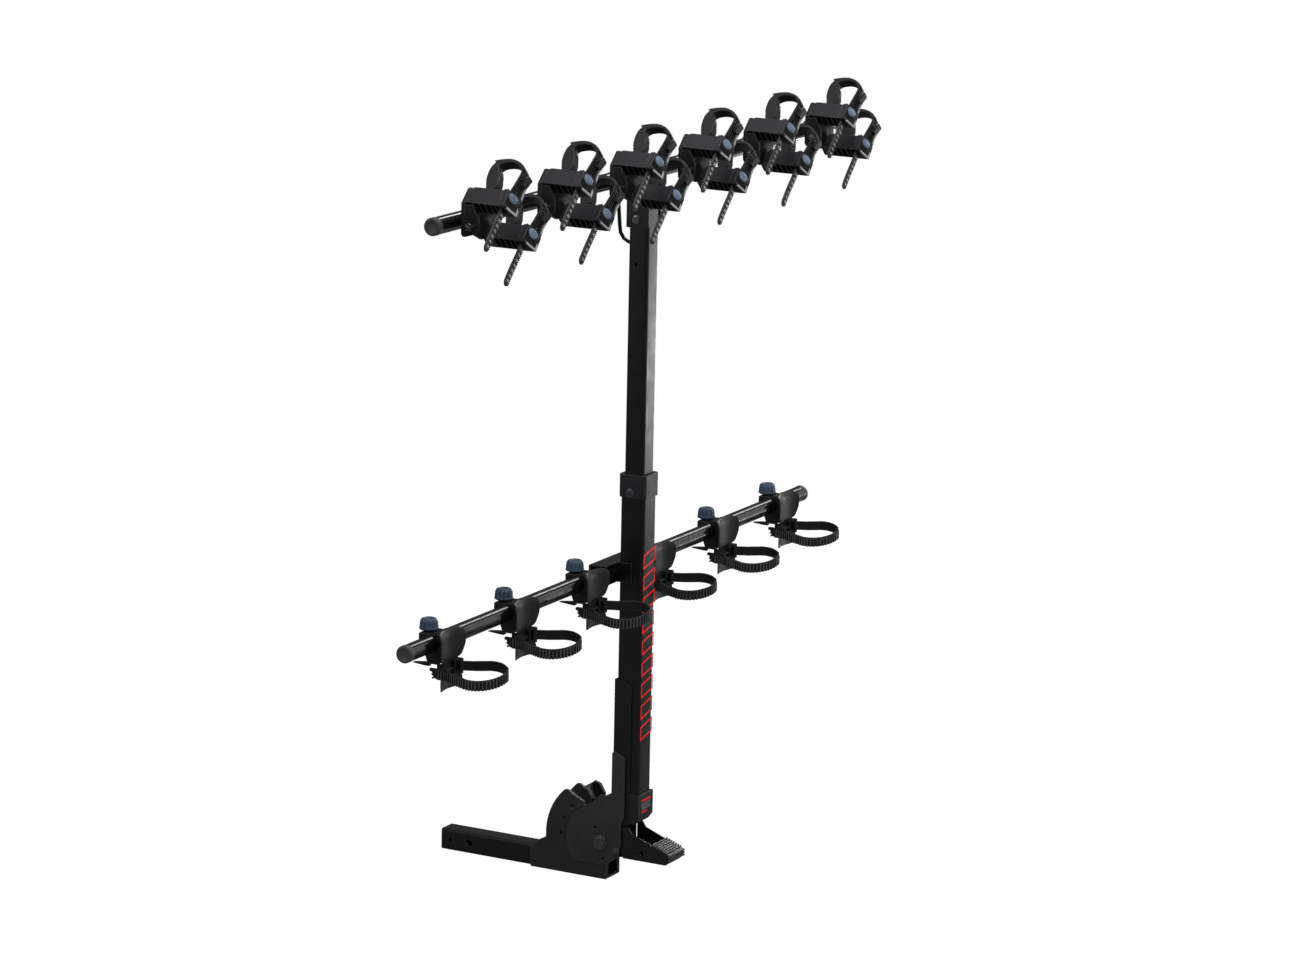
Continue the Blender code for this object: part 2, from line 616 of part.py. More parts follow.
def build_cradle_straps(material):
    """Twelve closed straps, two to a cradle, each hinged at the back of its arm."""
    hinge = (-STRAP_HINGE_S, STRAP_HINGE_H)
    outline = [(-s - hinge[0], h - hinge[1]) for s, h in cradle_strap_outline()]
    strap = prism(outline, "X", -STRAP_HALF_WIDTH, STRAP_HALF_WIDTH)
    fuse(strap, rod("X", (0, 0), 6 * MM, -STRAP_HALF_WIDTH, STRAP_HALF_WIDTH, 16))
    neck = rectangle((-10 * MM, 0), (-1 * MM, 12 * MM))
    fuse(strap, prism(neck, "X", -STRAP_HALF_WIDTH, STRAP_HALF_WIDTH))
    reach = STRAP_HALF_WIDTH + MM
    cut(strap, rod("X", (0, 0), HINGE_HOLE_RADIUS, -reach, reach, 12))
    finish(strap, "cradle_strap_1a", material)
    strap.rotation_euler = (0, CRADLE_TURN, 0)
    turned = Matrix.Rotation(CRADLE_TURN, 3, "Y")
    for number, x in enumerate(station_places(), start=1):
        station = Vector((x, *TOP_BAR_YZ))
        for letter, offset in zip("ab", ARM_OFFSETS):
            local = Vector((offset, ARM_BACK_Y - STRAP_HINGE_S, STRAP_ZERO_Z + STRAP_HINGE_H))
            spot = station + turned @ local
            if (number, letter) == (1, "a"):
                strap.location = spot
            else:
                repeat(strap, f"cradle_strap_{number}{letter}", spot)


# ---------------------------------------------------------------- wheel trays

def station_places():
    first = -STATION_SPACING * (STATION_COUNT - 1) / 2
    return [first + STATION_SPACING * i for i in range(STATION_COUNT)]


def tray_surface(across, depth):
    """Y of the tray's face at a distance across it: a shallow tyre channel open towards -Y."""
    return (-25 - 15 * (across / TRAY_HALF_WIDTH) ** 2) * MM + depth


def tray_shell():
    """Curved face of a tray: broad pad on the bar, narrow neck and flared tail."""
    rows = [(27, 41), (21, 50), (-8, 50), (-34, 40), (-43, 24), (-72, 22), (-81, 37), (-92, 40)]
    tail = (37, -104)
    columns = [-1, -0.6, -0.25, 0, 0.25, 0.6, 1]
    bm = bmesh.new()
    layers = []
    for depth in (0, TRAY_SKIN):
        grid = []
        for z, half in rows:
            line = [(t * half * MM, z * MM) for t in columns]
            grid.append([bm.verts.new((x, tray_surface(x, depth), z0)) for x, z0 in line])
        half, low = tail
        ends = [(t * half * MM, low * MM) for t in columns]
        grid[-1] = [bm.verts.new((x, tray_surface(x, depth), z0)) for x, z0 in ends]
        layers.append(grid)
    height, width = len(rows), len(columns)
    for grid in layers:
        for r in range(height - 1):
            for c in range(width - 1):
                bm.faces.new((grid[r][c], grid[r][c + 1], grid[r + 1][c + 1], grid[r + 1][c]))
    border = [(0, c) for c in range(width)] + [(r, width - 1) for r in range(1, height)]
    border += [(height - 1, c) for c in range(width - 2, -1, -1)] + [(r, 0) for r in range(height - 2, 0, -1)]
    front, rear = layers
    for (r0, c0), (r1, c1) in zip(border, border[1:] + border[:1]):
        bm.faces.new((front[r0][c0], front[r1][c1], rear[r1][c1], rear[r0][c0]))
    for stray in [v for v in bm.verts if not v.link_faces]:
        bm.verts.remove(stray)
    return object_from(bm)


def build_trays(material):
    """Six trays: a split clamp on the lower bar, the tyre channel and the strap's hinge lugs."""
    half = TRAY_CLAMP_HALF_WIDTH
    side = [(33, -16), (33, 18), (30, 21), (0, 21), (-5, 24.5), (-18, 24.5), (-24, 18), (-24, -46), (14, -46)]
    clamp = prism([(y * MM, z * MM) for y, z in side], "X", -half, half)
    tab = [(10, -52), (20, -51.5), (48.5, -49), (48.5, -48), (20, -44.5), (10, -44)]
    tab = prism([(y * MM, z * MM) for y, z in tab], "X", -26 * MM, -14 * MM)
    tray = fuse(clamp, tab, tray_shell())
    cut(tray, rod("X", (0, 0), BAR_RADIUS + BAR_CLEARANCE, -60 * MM, 60 * MM, 32))
    cut(tray, box((-60 * MM, 15 * MM, -4 * MM), (60 * MM, 40 * MM, -1 * MM)))
    cut(tray, rod("Z", (0, KNOB_Y), KNOB_STUD_RADIUS + GAP, -60 * MM, 40 * MM, 14))
    hinge_x, hinge_y = WHEEL_HINGE_XY
    lug_gap = 0.4 * MM
    for low in (WHEEL_STRAP_Z[0] - lug_gap - 5 * MM, WHEEL_STRAP_Z[1] + lug_gap):
        lug = box((12 * MM, hinge_y - 6 * MM, low), (hinge_x + 6 * MM, -24.5 * MM, low + 5 * MM))
        fuse(tray, lug)
    pin_low, pin_high = WHEEL_STRAP_Z[0] - 2 * MM, WHEEL_STRAP_Z[1] + 2 * MM
    fuse(tray, rod("Z", WHEEL_HINGE_XY, HINGE_PIN_RADIUS, pin_low, pin_high, 12))
    finish(tray, "wheel_tray_1", material)
    for number, x in enumerate(station_places(), start=1):
        spot = (x, *LOWER_BAR_YZ)
        if number == 1:
            tray.location = spot
        else:
            repeat(tray, f"wheel_tray_{number}", spot)


def wheel_strap_rings():
    """Sections of a closed wheel strap: out along one side, round, and back a little lower."""
    reach, half, thickness = -113, 56, 4
    outer = arc((0, reach), half, 12, -192, 14)
    inner = arc((0, reach), half - thickness, 12, -192, 14)
    pairs = [((33.5, -42), (27, -42)), ((36, -50), (31, -51.5)), ((46, -74), (42, -75.5))]
    pairs += list(zip(outer, inner))
    pairs += [((-46, -74), (-42, -75.5)), ((-36, -50), (-32, -51.5)), ((-31, -38), (-27, -38))]
    pairs += [((-28.5, -20), (-24.5, -20)), ((-28.5, 4), (-24.5, 4))]
    rings = []
    for pair in pairs:
        x = pair[0][0]
        shift = (0.21 * min(0, x - 18) + 0.25 * max(0, x - 42)) * MM
        low = WHEEL_STRAP_Z[0] + shift + (4 * MM if -32 < x < -20 else 0)
        high = WHEEL_STRAP_Z[1] + shift
        corners = [(pair[0], low), (pair[0], high), (pair[1], high), (pair[1], low)]
        rings.append([(u * MM, v * MM, z) for (u, v), z in corners])
    return rings


def build_wheel_straps(material):
    low, high = WHEEL_STRAP_Z
    strap = fuse(skin(wheel_strap_rings()), rod("Z", WHEEL_HINGE_XY, 5.5 * MM, low, high, 16))
    cut(strap, rod("Z", WHEEL_HINGE_XY, HINGE_HOLE_RADIUS, low - MM, high + MM, 12))
    turn(strap, Matrix.Translation((-WHEEL_HINGE_XY[0], -WHEEL_HINGE_XY[1], 0)))
    finish(strap, "wheel_strap_1", material)
    for number, x in enumerate(station_places(), start=1):
        spot = (x + WHEEL_HINGE_XY[0], LOWER_BAR_YZ[0] + WHEEL_HINGE_XY[1], LOWER_BAR_YZ[1])
        if number == 1:
            strap.location = spot
        else:
            repeat(strap, f"wheel_strap_{number}", spot)


def build_knobs(material):
    """Six lobed knobs, each with its stud through a tray's clamp."""
    lobes, per_lobe = 7, 4
    steps = lobes * per_lobe
    profile = ((21.5, 0.7), (23.5, 0.94), (30, 1.0), (40, 0.95), (46, 0.76), (48.5, 0.4))
    rings = []
    for z, scale in profile:
        ring = []
        for i in range(steps):
            angle = 2 * pi * i / steps
            reach = KNOB_RADIUS * scale * (0.955 + 0.045 * cos(lobes * angle))
            ring.append((reach * cos(angle), reach * sin(angle), z * MM))
        rings.append(ring)
    knob = skin(rings)
    fuse(knob, rod("Z", (0, 0), KNOB_STUD_RADIUS, -24 * MM, 30 * MM, 12))
    finish(knob, "tray_knob_1", material)
    for number, x in enumerate(station_places(), start=1):
        spot = (x, LOWER_BAR_YZ[0] + KNOB_Y, LOWER_BAR_YZ[1])
        if number == 1:
            knob.location = spot
        else:
            repeat(knob, f"tray_knob_{number}", spot)


def main():
    clear_scene()
    metal, plastic, rubber, blue, steel = [make_material(name) for name in COLOURS]
    build_hitch_bar(metal)
    build_base_plates(metal)
    build_tilt_plates(metal)
    build_pivot_bolt(steel)
    build_stop_block(metal)
    build_lock(metal, steel)
    build_pedal(metal, rubber, steel)
    build_mast(metal, plastic, steel)
    build_bar("lower_bar", LOWER_BAR_YZ, metal)
    build_bar("top_bar", TOP_BAR_YZ, metal)
    build_top_yoke(metal, steel)
    build_lower_bracket(metal)
    build_lock_loop(metal)
    build_cradles(plastic)
    build_cradle_straps(rubber)
    build_trays(plastic)
    build_wheel_straps(rubber)
    build_knobs(blue)


main()
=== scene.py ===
"""Looks of the upright six-bike hitch rack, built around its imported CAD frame.

Lengths are in millimetres in the shape code and are turned into metres when a mesh is made.
"""
from math import cos, pi, radians, sin

import bmesh
import bpy
from mathutils import Matrix, Vector


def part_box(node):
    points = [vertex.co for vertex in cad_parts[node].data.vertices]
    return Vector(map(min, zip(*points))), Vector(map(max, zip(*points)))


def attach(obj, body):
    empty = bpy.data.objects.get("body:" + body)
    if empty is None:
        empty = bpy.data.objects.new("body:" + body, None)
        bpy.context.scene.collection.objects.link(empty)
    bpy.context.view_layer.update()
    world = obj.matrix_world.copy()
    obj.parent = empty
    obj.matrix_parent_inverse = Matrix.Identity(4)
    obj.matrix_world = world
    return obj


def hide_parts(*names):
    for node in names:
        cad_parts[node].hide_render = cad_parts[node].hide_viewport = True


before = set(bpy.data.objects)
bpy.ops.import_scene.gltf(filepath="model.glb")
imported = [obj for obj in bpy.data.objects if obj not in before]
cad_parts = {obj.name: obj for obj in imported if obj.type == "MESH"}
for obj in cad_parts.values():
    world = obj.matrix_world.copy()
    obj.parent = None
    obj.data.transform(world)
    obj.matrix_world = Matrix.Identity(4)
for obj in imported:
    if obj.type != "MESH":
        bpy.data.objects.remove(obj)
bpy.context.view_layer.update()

MM = 0.001
STATIONS = range(1, 7)
CRADLE_TURN = radians(45)


def middle(node):
    """The middle of a CAD node's box."""
    low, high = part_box(node)
    return (low + high) / 2


TOP_BAR = middle("top_bar")
LOWER_BAR = middle("lower_bar")
STATION_X = {k: middle(f"wheel_tray_{k}").x for k in STATIONS}
BAR_RADIUS = (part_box("top_bar")[1].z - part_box("top_bar")[0].z) / 2 / MM
BAR_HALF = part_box("top_bar")[1].x / MM
CLAMP_BORE = BAR_RADIUS + 0.3

# Cradle: distances in its own turned frame, with the top bar's axis as origin
ARM_BACK = -40
ARM_LENGTH = 88
ARM_OFFSETS = {"a": -69.5, "b": 50.5}
ARM_HALF_WIDTH = 18
ARM_Z = (-19, 24)
STRAP_ZERO_Z = 22
STRAP_HINGE = (-26, 15)

# Wheel tray: its strap's hinge and its knob, with the station's point on the lower bar's axis as origin
BAND_HINGE = (30, -40)
KNOB_Y = 23


# ------------------------------------------------------------------ materials

# Noise features per metre
DRIFT_SCALE, SPECK_SCALE, GLOSS_SCALE, RIPPLE_SCALE = 9.0, 420.0, 34.0, 22.0
EDGE_WIDTH = 0.002


class Nodes:
    """A small helper that adds and links shader nodes."""

    def __init__(self, name):
        self.material = bpy.data.materials.new(name)
        self.material.use_nodes = True
        self.tree = self.material.node_tree
        self.shader = self.tree.nodes["Principled BSDF"]

    def add(self, kind, **values):
        node = self.tree.nodes.new(kind)
        for key, value in values.items():
            if key.startswith("in_"):
                name = key[3:]
                node.inputs[int(name) if name.isdigit() else name].default_value = value
            else:
                setattr(node, key, value)
        return node

    def link(self, source, target):
        self.tree.links.new(source, target)

    def place(self):
        """Object coordinates, shifted for each object so that repeats don't look alike."""
        coords = self.add("ShaderNodeTexCoord")
        info = self.add("ShaderNodeObjectInfo")
        shift = self.add("ShaderNodeVectorMath", operation="SCALE")
        shift.inputs[0].default_value = (7.3, 3.1, 5.7)
        self.link(info.outputs["Random"], shift.inputs["Scale"])
        total = self.add("ShaderNodeVectorMath", operation="ADD")
        self.link(coords.outputs["Object"], total.inputs[0])
        self.link(shift.outputs[0], total.inputs[1])
        return total.outputs[0]

    def noise(self, place, scale, detail=3.0, roughness=0.55):
        node = self.add("ShaderNodeTexNoise", in_Scale=scale, in_Detail=detail, in_Roughness=roughness)
        self.link(place, node.inputs["Vector"])
        return node.outputs["Fac"]

    def ramp(self, source, low, high, start=0.0, end=1.0):
        node = self.add("ShaderNodeMapRange", clamp=True)
        node.inputs["From Min"].default_value = low
        node.inputs["From Max"].default_value = high
        node.inputs["To Min"].default_value = start
        node.inputs["To Max"].default_value = end
        self.link(source, node.inputs["Value"])
        return node.outputs[0]

    def mix(self, share, first, second):
        """Mix two colours, each a plain tuple or another node's output."""
        node = self.add("ShaderNodeMix", data_type="RGBA")
        for value, label in ((first, "A"), (second, "B")):
            socket = next(s for s in node.inputs if s.name == label and s.type == "RGBA")
            if isinstance(value, tuple):
                socket.default_value = (*value, 1)
            else:
                self.link(value, socket)
        self.link(share, next(s for s in node.inputs if s.name == "Factor" and s.type == "VALUE"))
        return next(s for s in node.outputs if s.type == "RGBA")

    def edges(self, width, keep):
        """0 on flat ground, up to keep on convex edges."""
        bevel = self.add("ShaderNodeBevel", samples=4)
        bevel.inputs["Radius"].default_value = width
        geometry = self.add("ShaderNodeNewGeometry")
        dot = self.add("ShaderNodeVectorMath", operation="DOT_PRODUCT")
        self.link(bevel.outputs[0], dot.inputs[0])
        self.link(geometry.outputs["Normal"], dot.inputs[1])
        return self.ramp(dot.outputs["Value"], 0.995, 0.85, 0.0, keep)

    def bump(self, height, strength, distance, below=None):
        node = self.add("ShaderNodeBump", in_Strength=strength, in_Distance=distance)
        self.link(height, node.inputs["Height"])
        if below is not None:
            self.link(below, node.inputs["Normal"])
        return node.outputs[0]


def surface(name, base, rough, grain, metallic=0.0, spread=0.35, edge_wear_and_highlight=0.25, edge=None, coat=0.0, streak=0.0,
            specular=0.5, ripple=0.12):
    """A moulded or coated material: tone drift, speckle, edges lightened as wear and as a painted highlight, uneven
    gloss and a fine grain.

    edge_wear_and_highlight is how much edge colour shows on convex edges: some wear, mostly painted highlight; streak
    is the strength of brushing along X.
    """
    n = Nodes(name)
    place = n.place()
    drift = n.ramp(n.noise(place, DRIFT_SCALE), 0.3, 0.7)
    speck = n.ramp(n.noise(place, SPECK_SCALE, 2.0), 0.4, 0.75)
    light = tuple(min(1.0, c * (1 + spread) + 0.002) for c in base)
    dark = tuple(c * (1 - spread * 0.6) for c in base)
    tone = n.mix(drift, dark, light)
    tone = n.mix(n.ramp(speck, 0.0, 1.0, 0.0, 0.35), tone, light)
    edge = edge or tuple(min(1.0, c * 2.4 + 0.02) for c in base)
    # Painted highlight: convex edges are lightened towards the edge colour, partly as wear and mostly as the light
    # edges would catch.
    if edge_wear_and_highlight:
        tone = n.mix(n.edges(EDGE_WIDTH, edge_wear_and_highlight), tone, edge)
    n.link(tone, n.shader.inputs["Base Color"])
    gloss = n.ramp(n.noise(place, GLOSS_SCALE, 4.0), 0.3, 0.7, rough - 0.06, rough + 0.07)
    n.link(gloss, n.shader.inputs["Roughness"])
    n.shader.inputs["Metallic"].default_value = metallic
    n.shader.inputs["Specular IOR Level"].default_value = specular
    if coat:
        n.shader.inputs["Coat Weight"].default_value = coat
        n.shader.inputs["Coat Roughness"].default_value = 0.25
    scale, strength, depth = grain
    normal = n.bump(n.noise(place, scale, 2.0), strength, depth)
    wave = n.bump(n.noise(place, RIPPLE_SCALE, 1.0), ripple, 0.0006, normal)
    if streak:
        brushed = n.add("ShaderNodeMapping", in_Scale=(4.0, 900.0, 900.0))
        n.link(place, brushed.inputs["Vector"])
        wave = n.bump(n.noise(brushed.outputs[0], 1.0, 2.0), streak, 0.0002, wave)
    n.link(wave, n.shader.inputs["Normal"])
    return n.material


# Grains per metre, bump strength, bump depth in metres
RUBBER_GRAIN = (1700.0, 0.35, 0.00012)
PLATE_GRAIN = (1100.0, 0.25, 0.00015)
FINE_GRAIN = (1500.0, 0.3, 0.00012)
PRINT_GRAIN = (1200.0, 0.2, 0.0001)

# Each edge colour below is far lighter than its base: mostly a painted highlight on convex edges, with a little wear.
COAT = surface("satin_powder_coat", (0.0045, 0.0045, 0.0052), 0.33, (900.0, 0.15, 0.00012), edge_wear_and_highlight=0.6,
               edge=(0.10, 0.10, 0.105), ripple=0.04, specular=0.42)
# Painted light: the plates are coloured lighter than the satin coat, and the discs lighter still, for the light
# falling on these faces.
PLATE = surface("powder_coated_plate_painted_lit", (0.026, 0.026, 0.0273), 0.44, PLATE_GRAIN, edge_wear_and_highlight=0.7,
                edge=(0.16, 0.16, 0.165), ripple=0.05, specular=0.4)
DISC = surface("powder_coated_disc_painted_lit", (0.036, 0.036, 0.0376), 0.44, PLATE_GRAIN, edge_wear_and_highlight=0.8,
               edge=(0.12, 0.12, 0.125), ripple=0.05, specular=0.4)
GLOSS = surface("gloss_powder_coat", (0.005, 0.005, 0.0056), 0.16, (700.0, 0.02, 0.00003), edge_wear_and_highlight=0.0, ripple=0.0)
SHELL = surface("moulded_cradle_plastic", (0.0165, 0.0158, 0.0198), 0.42, FINE_GRAIN, edge_wear_and_highlight=0.8,
                edge=(0.15, 0.15, 0.165), ripple=0.06, specular=0.4)
TRAY = surface("moulded_tray_plastic", (0.017, 0.0165, 0.019), 0.46, (1300.0, 0.35, 0.00012), edge_wear_and_highlight=0.6,
               edge=(0.10, 0.10, 0.11), ripple=0.06, specular=0.42)
DARK = surface("dark_structural_plastic", (0.0048, 0.0046, 0.0054), 0.48, (1300.0, 0.3, 0.00012), edge_wear_and_highlight=0.7,
               edge=(0.12, 0.12, 0.126), ripple=0.06, specular=0.35)
RUBBER = surface("strap_rubber", (0.0085, 0.0085, 0.0093), 0.5, RUBBER_GRAIN, edge_wear_and_highlight=0.85,
                 edge=(0.085, 0.085, 0.09), ripple=0.06, specular=0.4)
TAIL = surface("strap_tail_rubber", (0.022, 0.022, 0.0235), 0.46, RUBBER_GRAIN, spread=0.7, edge_wear_and_highlight=0.9,
               edge=(0.2, 0.2, 0.21), ripple=0.06, specular=0.4)
BLUE = surface("blue_grey_plastic", (0.046, 0.072, 0.12), 0.4, FINE_GRAIN, spread=0.4, edge_wear_and_highlight=0.5,
               edge=(0.16, 0.22, 0.32), ripple=0.06)
BUTTON = surface("button_plastic", (0.15, 0.2, 0.3), 0.3, (1500.0, 0.2, 0.0001), spread=0.45, edge_wear_and_highlight=0.7,
                 edge=(0.6, 0.68, 0.78), coat=0.3, ripple=0.06)
BEZEL = surface("grey_bezel_plastic", (0.4, 0.402, 0.41), 0.4, (1400.0, 0.25, 0.00012), spread=0.35, edge_wear_and_highlight=0.5,
                edge=(0.6, 0.6, 0.61), ripple=0.06)
# A lighter colour for the raised patches on the strap tails.
PATCH = surface("light_tail_patch_rubber", (0.26, 0.26, 0.265), 0.42, RUBBER_GRAIN, spread=0.8, edge_wear_and_highlight=0.5,
                edge=(0.3, 0.3, 0.31), ripple=0.06, specular=0.4)
CAP = surface("grey_cap_plastic", (0.075, 0.075, 0.077), 0.5, (1400.0, 0.3, 0.00012), spread=0.3, edge_wear_and_highlight=0.6,
              edge=(0.02, 0.02, 0.021), ripple=0.06, specular=0.4)
# Tooth tops in a lighter rubber: a painted highlight that makes the small teeth show.
TOOTH_TOP_HIGHLIGHT = surface("tooth_top_painted_highlight", (0.11, 0.11, 0.113), 0.42, RUBBER_GRAIN, spread=0.5, edge_wear_and_highlight=0.5,
                edge=(0.2, 0.2, 0.205), ripple=0.06, specular=0.4)
TREAD = surface("pedal_tread_rubber", (0.014, 0.014, 0.015), 0.45, RUBBER_GRAIN, edge_wear_and_highlight=1.0,
                edge=(0.2, 0.2, 0.205), ripple=0.06, specular=0.45)
STEEL = surface("black_oxide_steel", (0.11, 0.11, 0.115), 0.3, (600.0, 0.12, 0.0001), metallic=0.85, edge_wear_and_highlight=0.7,
                edge=(0.5, 0.5, 0.51), streak=0.12, ripple=0.04)
RED = surface("red_print_painted_glow", (0.66, 0.01, 0.008), 0.5, PRINT_GRAIN, spread=0.2, edge_wear_and_highlight=0.0, specular=0.2)
# The red print also glows faintly: a painted brightness, not light from a lamp.
RED_SHADER = RED.node_tree.nodes["Principled BSDF"]
RED_SHADER.inputs["Emission Color"].default_value = (0.8, 0.012, 0.01, 1)
RED_SHADER.inputs["Emission Strength"].default_value = 0.4
GREY_PRINT = surface("grey_print", (0.28, 0.29, 0.31), 0.45, PRINT_GRAIN, spread=0.3, edge_wear_and_highlight=0.0)


# ------------------------------------------------------------------ mesh helpers

def arc(centre, radius, start, end, steps):
    angles = [radians(start + (end - start) * i / steps) for i in range(steps + 1)]
    return [(centre[0] + radius * cos(a), centre[1] + radius * sin(a)) for a in angles]


def place_point(axis, along, u, v):
    if axis == "X":
        return (along, u, v)
    if axis == "Y":
        return (u, along, v)
    return (u, v, along)


def add_rings(bm, rings, closed=False, material=0):
    """Skin rings of points; the ends are capped unless the rings close on themselves."""
    loops = [[bm.verts.new(Vector(p) * MM) for p in ring] for ring in rings]
    pairs = list(zip(loops, loops[1:])) + ([(loops[-1], loops[0])] if closed else [])
    count = len(loops[0])
    faces = []
    for first, second in pairs:
        for i in range(count):
            j = (i + 1) % count
            faces.append(bm.faces.new((first[i], first[j], second[j], second[i])))
    if not closed:
        faces.append(bm.faces.new(loops[0][::-1]))
        faces.append(bm.faces.new(loops[-1]))
    for face in faces:
        face.material_index = material


def add_prism(bm, outline, axis, low, high, material=0):
    add_rings(bm, [[place_point(axis, along, u, v) for u, v in outline] for along in (low, high)], material=material)


def add_box(bm, low, high, material=0):
    outline = [(low[0], low[1]), (high[0], low[1]), (high[0], high[1]), (low[0], high[1])]
    add_prism(bm, outline, "Z", low[2], high[2], material)


def add_rod(bm, axis, centre, radius, low, high, steps=24, material=0, round_off=0.0):
    """A rod whose ends are rounded off by a small chamfer."""
    end_radius = radius - round_off
    stops = [(low, end_radius), (low + round_off, radius), (high - round_off, radius), (high, end_radius)]
    if not round_off:
        stops = [(low, radius), (high, radius)]
    rings = [[place_point(axis, a, u, v) for u, v in arc(centre, r, 0, 360, steps)[:-1]] for a, r in stops]
    add_rings(bm, rings, material=material)


def make_object(name, bm, materials, bevel=0.0, segments=2, smooth=35):
    bmesh.ops.recalc_face_normals(bm, faces=bm.faces)
    mesh = bpy.data.meshes.new(name)
    bm.to_mesh(mesh)
    bm.free()
    for material in materials:
        mesh.materials.append(material)
    mesh.shade_smooth()
    mesh.set_sharp_from_angle(angle=radians(smooth))
    piece = bpy.data.objects.new(name, mesh)
    bpy.context.scene.collection.objects.link(piece)
    if bevel:
        add_bevel(piece, bevel, segments)
    return piece


def add_bevel(piece, width, segments=2, angle=40):
    modifier = piece.modifiers.new("edge_rounding", "BEVEL")
    modifier.width = width * MM
    modifier.segments = segments
    modifier.limit_method = "ANGLE"
    modifier.angle_limit = radians(angle)
    modifier.use_clamp_overlap = True
    modifier.harden_normals = False
    modifier.miter_outer = "MITER_ARC"


def carve(piece, *tools):
    """Cut tools out of a piece for good; the tools are removed."""
    for tool in tools:
        modifier = piece.modifiers.new("cut", "BOOLEAN")
        modifier.operation = "DIFFERENCE"
        modifier.solver = "EXACT"
        modifier.object = tool
        bpy.context.view_layer.update()
        graph = bpy.context.evaluated_depsgraph_get()
        mesh = bpy.data.meshes.new_from_object(piece.evaluated_get(graph))
        piece.modifiers.clear()
        piece.data = mesh
        bpy.data.objects.remove(tool, do_unlink=True)


def fuse(pieces, name, materials, bevel=0.0, segments=2, smooth=35):
    """Join several pieces' meshes into one named piece."""
    bm = bmesh.new()
    for piece in pieces:
        bm.from_mesh(piece.data)
        bpy.data.objects.remove(piece, do_unlink=True)
    return make_object(name, bm, materials, bevel, segments, smooth)


def tool_box(low, high):
    bm = bmesh.new()
    add_box(bm, low, high)
    return make_object("tool", bm, [])


def tool_rod(axis, centre, radius, low, high, steps=32):
    bm = bmesh.new()
    add_rod(bm, axis, centre, radius, low, high, steps)
    return make_object("tool", bm, [])


def smooth_path(points, per_span):
    """Catmull-Rom curve through the points."""
    out = []
    last = len(points) - 1
    for i in range(last):
        p0, p1, p2, p3 = (Vector(points[max(0, min(last, i + d))]) for d in (-1, 0, 1, 2))
        for step in range(per_span):
            t = step / per_span
            out.append(0.5 * ((2 * p1) + (p2 - p0) * t + (2 * p0 - 5 * p1 + 4 * p2 - p3) * t * t
                              + (3 * p1 - p0 - 3 * p2 + p3) * t ** 3))
    out.append(Vector(points[last]))
    return out


def even_path(points, step):
    """The same path with points at an even spacing."""
    out, carry = [points[0]], 0.0
    for a, b in zip(points, points[1:]):
        length = (b - a).length
        at = step - carry
        while at <= length:
            out.append(a + (b - a) * (at / length))
            at += step
        carry = length - (at - step)
    return out


def add_band(bm, path, half_width, inner, outer, to_point, material=0, taper=0.0):
    """A flat band along a path in a plane. inner and outer give its thickness on each side at a distance along it.

    to_point turns (path point, sideways distance) into a place; taper rounds the far end in over that length.
    """
    rings = []
    run = 0.0
    lengths = [0.0]
    for a, b in zip(path, path[1:]):
        run += (b - a).length
        lengths.append(run)
    for i, point in enumerate(path):
        along = path[min(i + 1, len(path) - 1)] - path[max(i - 1, 0)]
        along.normalize()
        normal = Vector((along.y, -along.x))
        left = run - lengths[i]
        width = half_width
        if taper and left < taper:
            width = max(1.2, half_width * (1 - (1 - left / taper) ** 2) ** 0.5)
        low, high = point - normal * inner(lengths[i]), point + normal * outer(lengths[i])
        soft = 0.7
        inset = normal * min(soft, (high - low).length * 0.3)
        ring = [(low, -width + soft), (low + inset, -width), (high - inset, -width), (high, -width + soft)]
        ring += [(high, width - soft), (high - inset, width), (low + inset, width), (low, width - soft)]
        rings.append([to_point(p, w) for p, w in ring])
    add_rings(bm, rings, material=material)


# ------------------------------------------------------------------ placing pieces

def settle(piece, body, slot, *nodes):
    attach(piece, body)
    if nodes:
        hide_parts(*nodes)


def copy_of(piece, name):
    twin = bpy.data.objects.new(name, piece.data)
    bpy.context.scene.collection.objects.link(twin)
    for old in piece.modifiers:
        new = twin.modifiers.new(old.name, old.type)
        for key in ("width", "segments", "limit_method", "angle_limit", "miter_outer"):
            setattr(new, key, getattr(old, key))
    return twin


def cradle_place(k):
    return Matrix.Translation((STATION_X[k], TOP_BAR.y, TOP_BAR.z)) @ Matrix.Rotation(CRADLE_TURN, 4, "Y")


# ------------------------------------------------------------------ cradles

def y_of(s):
    """Distance out along an arm to the frame's Y."""
    return ARM_BACK - s


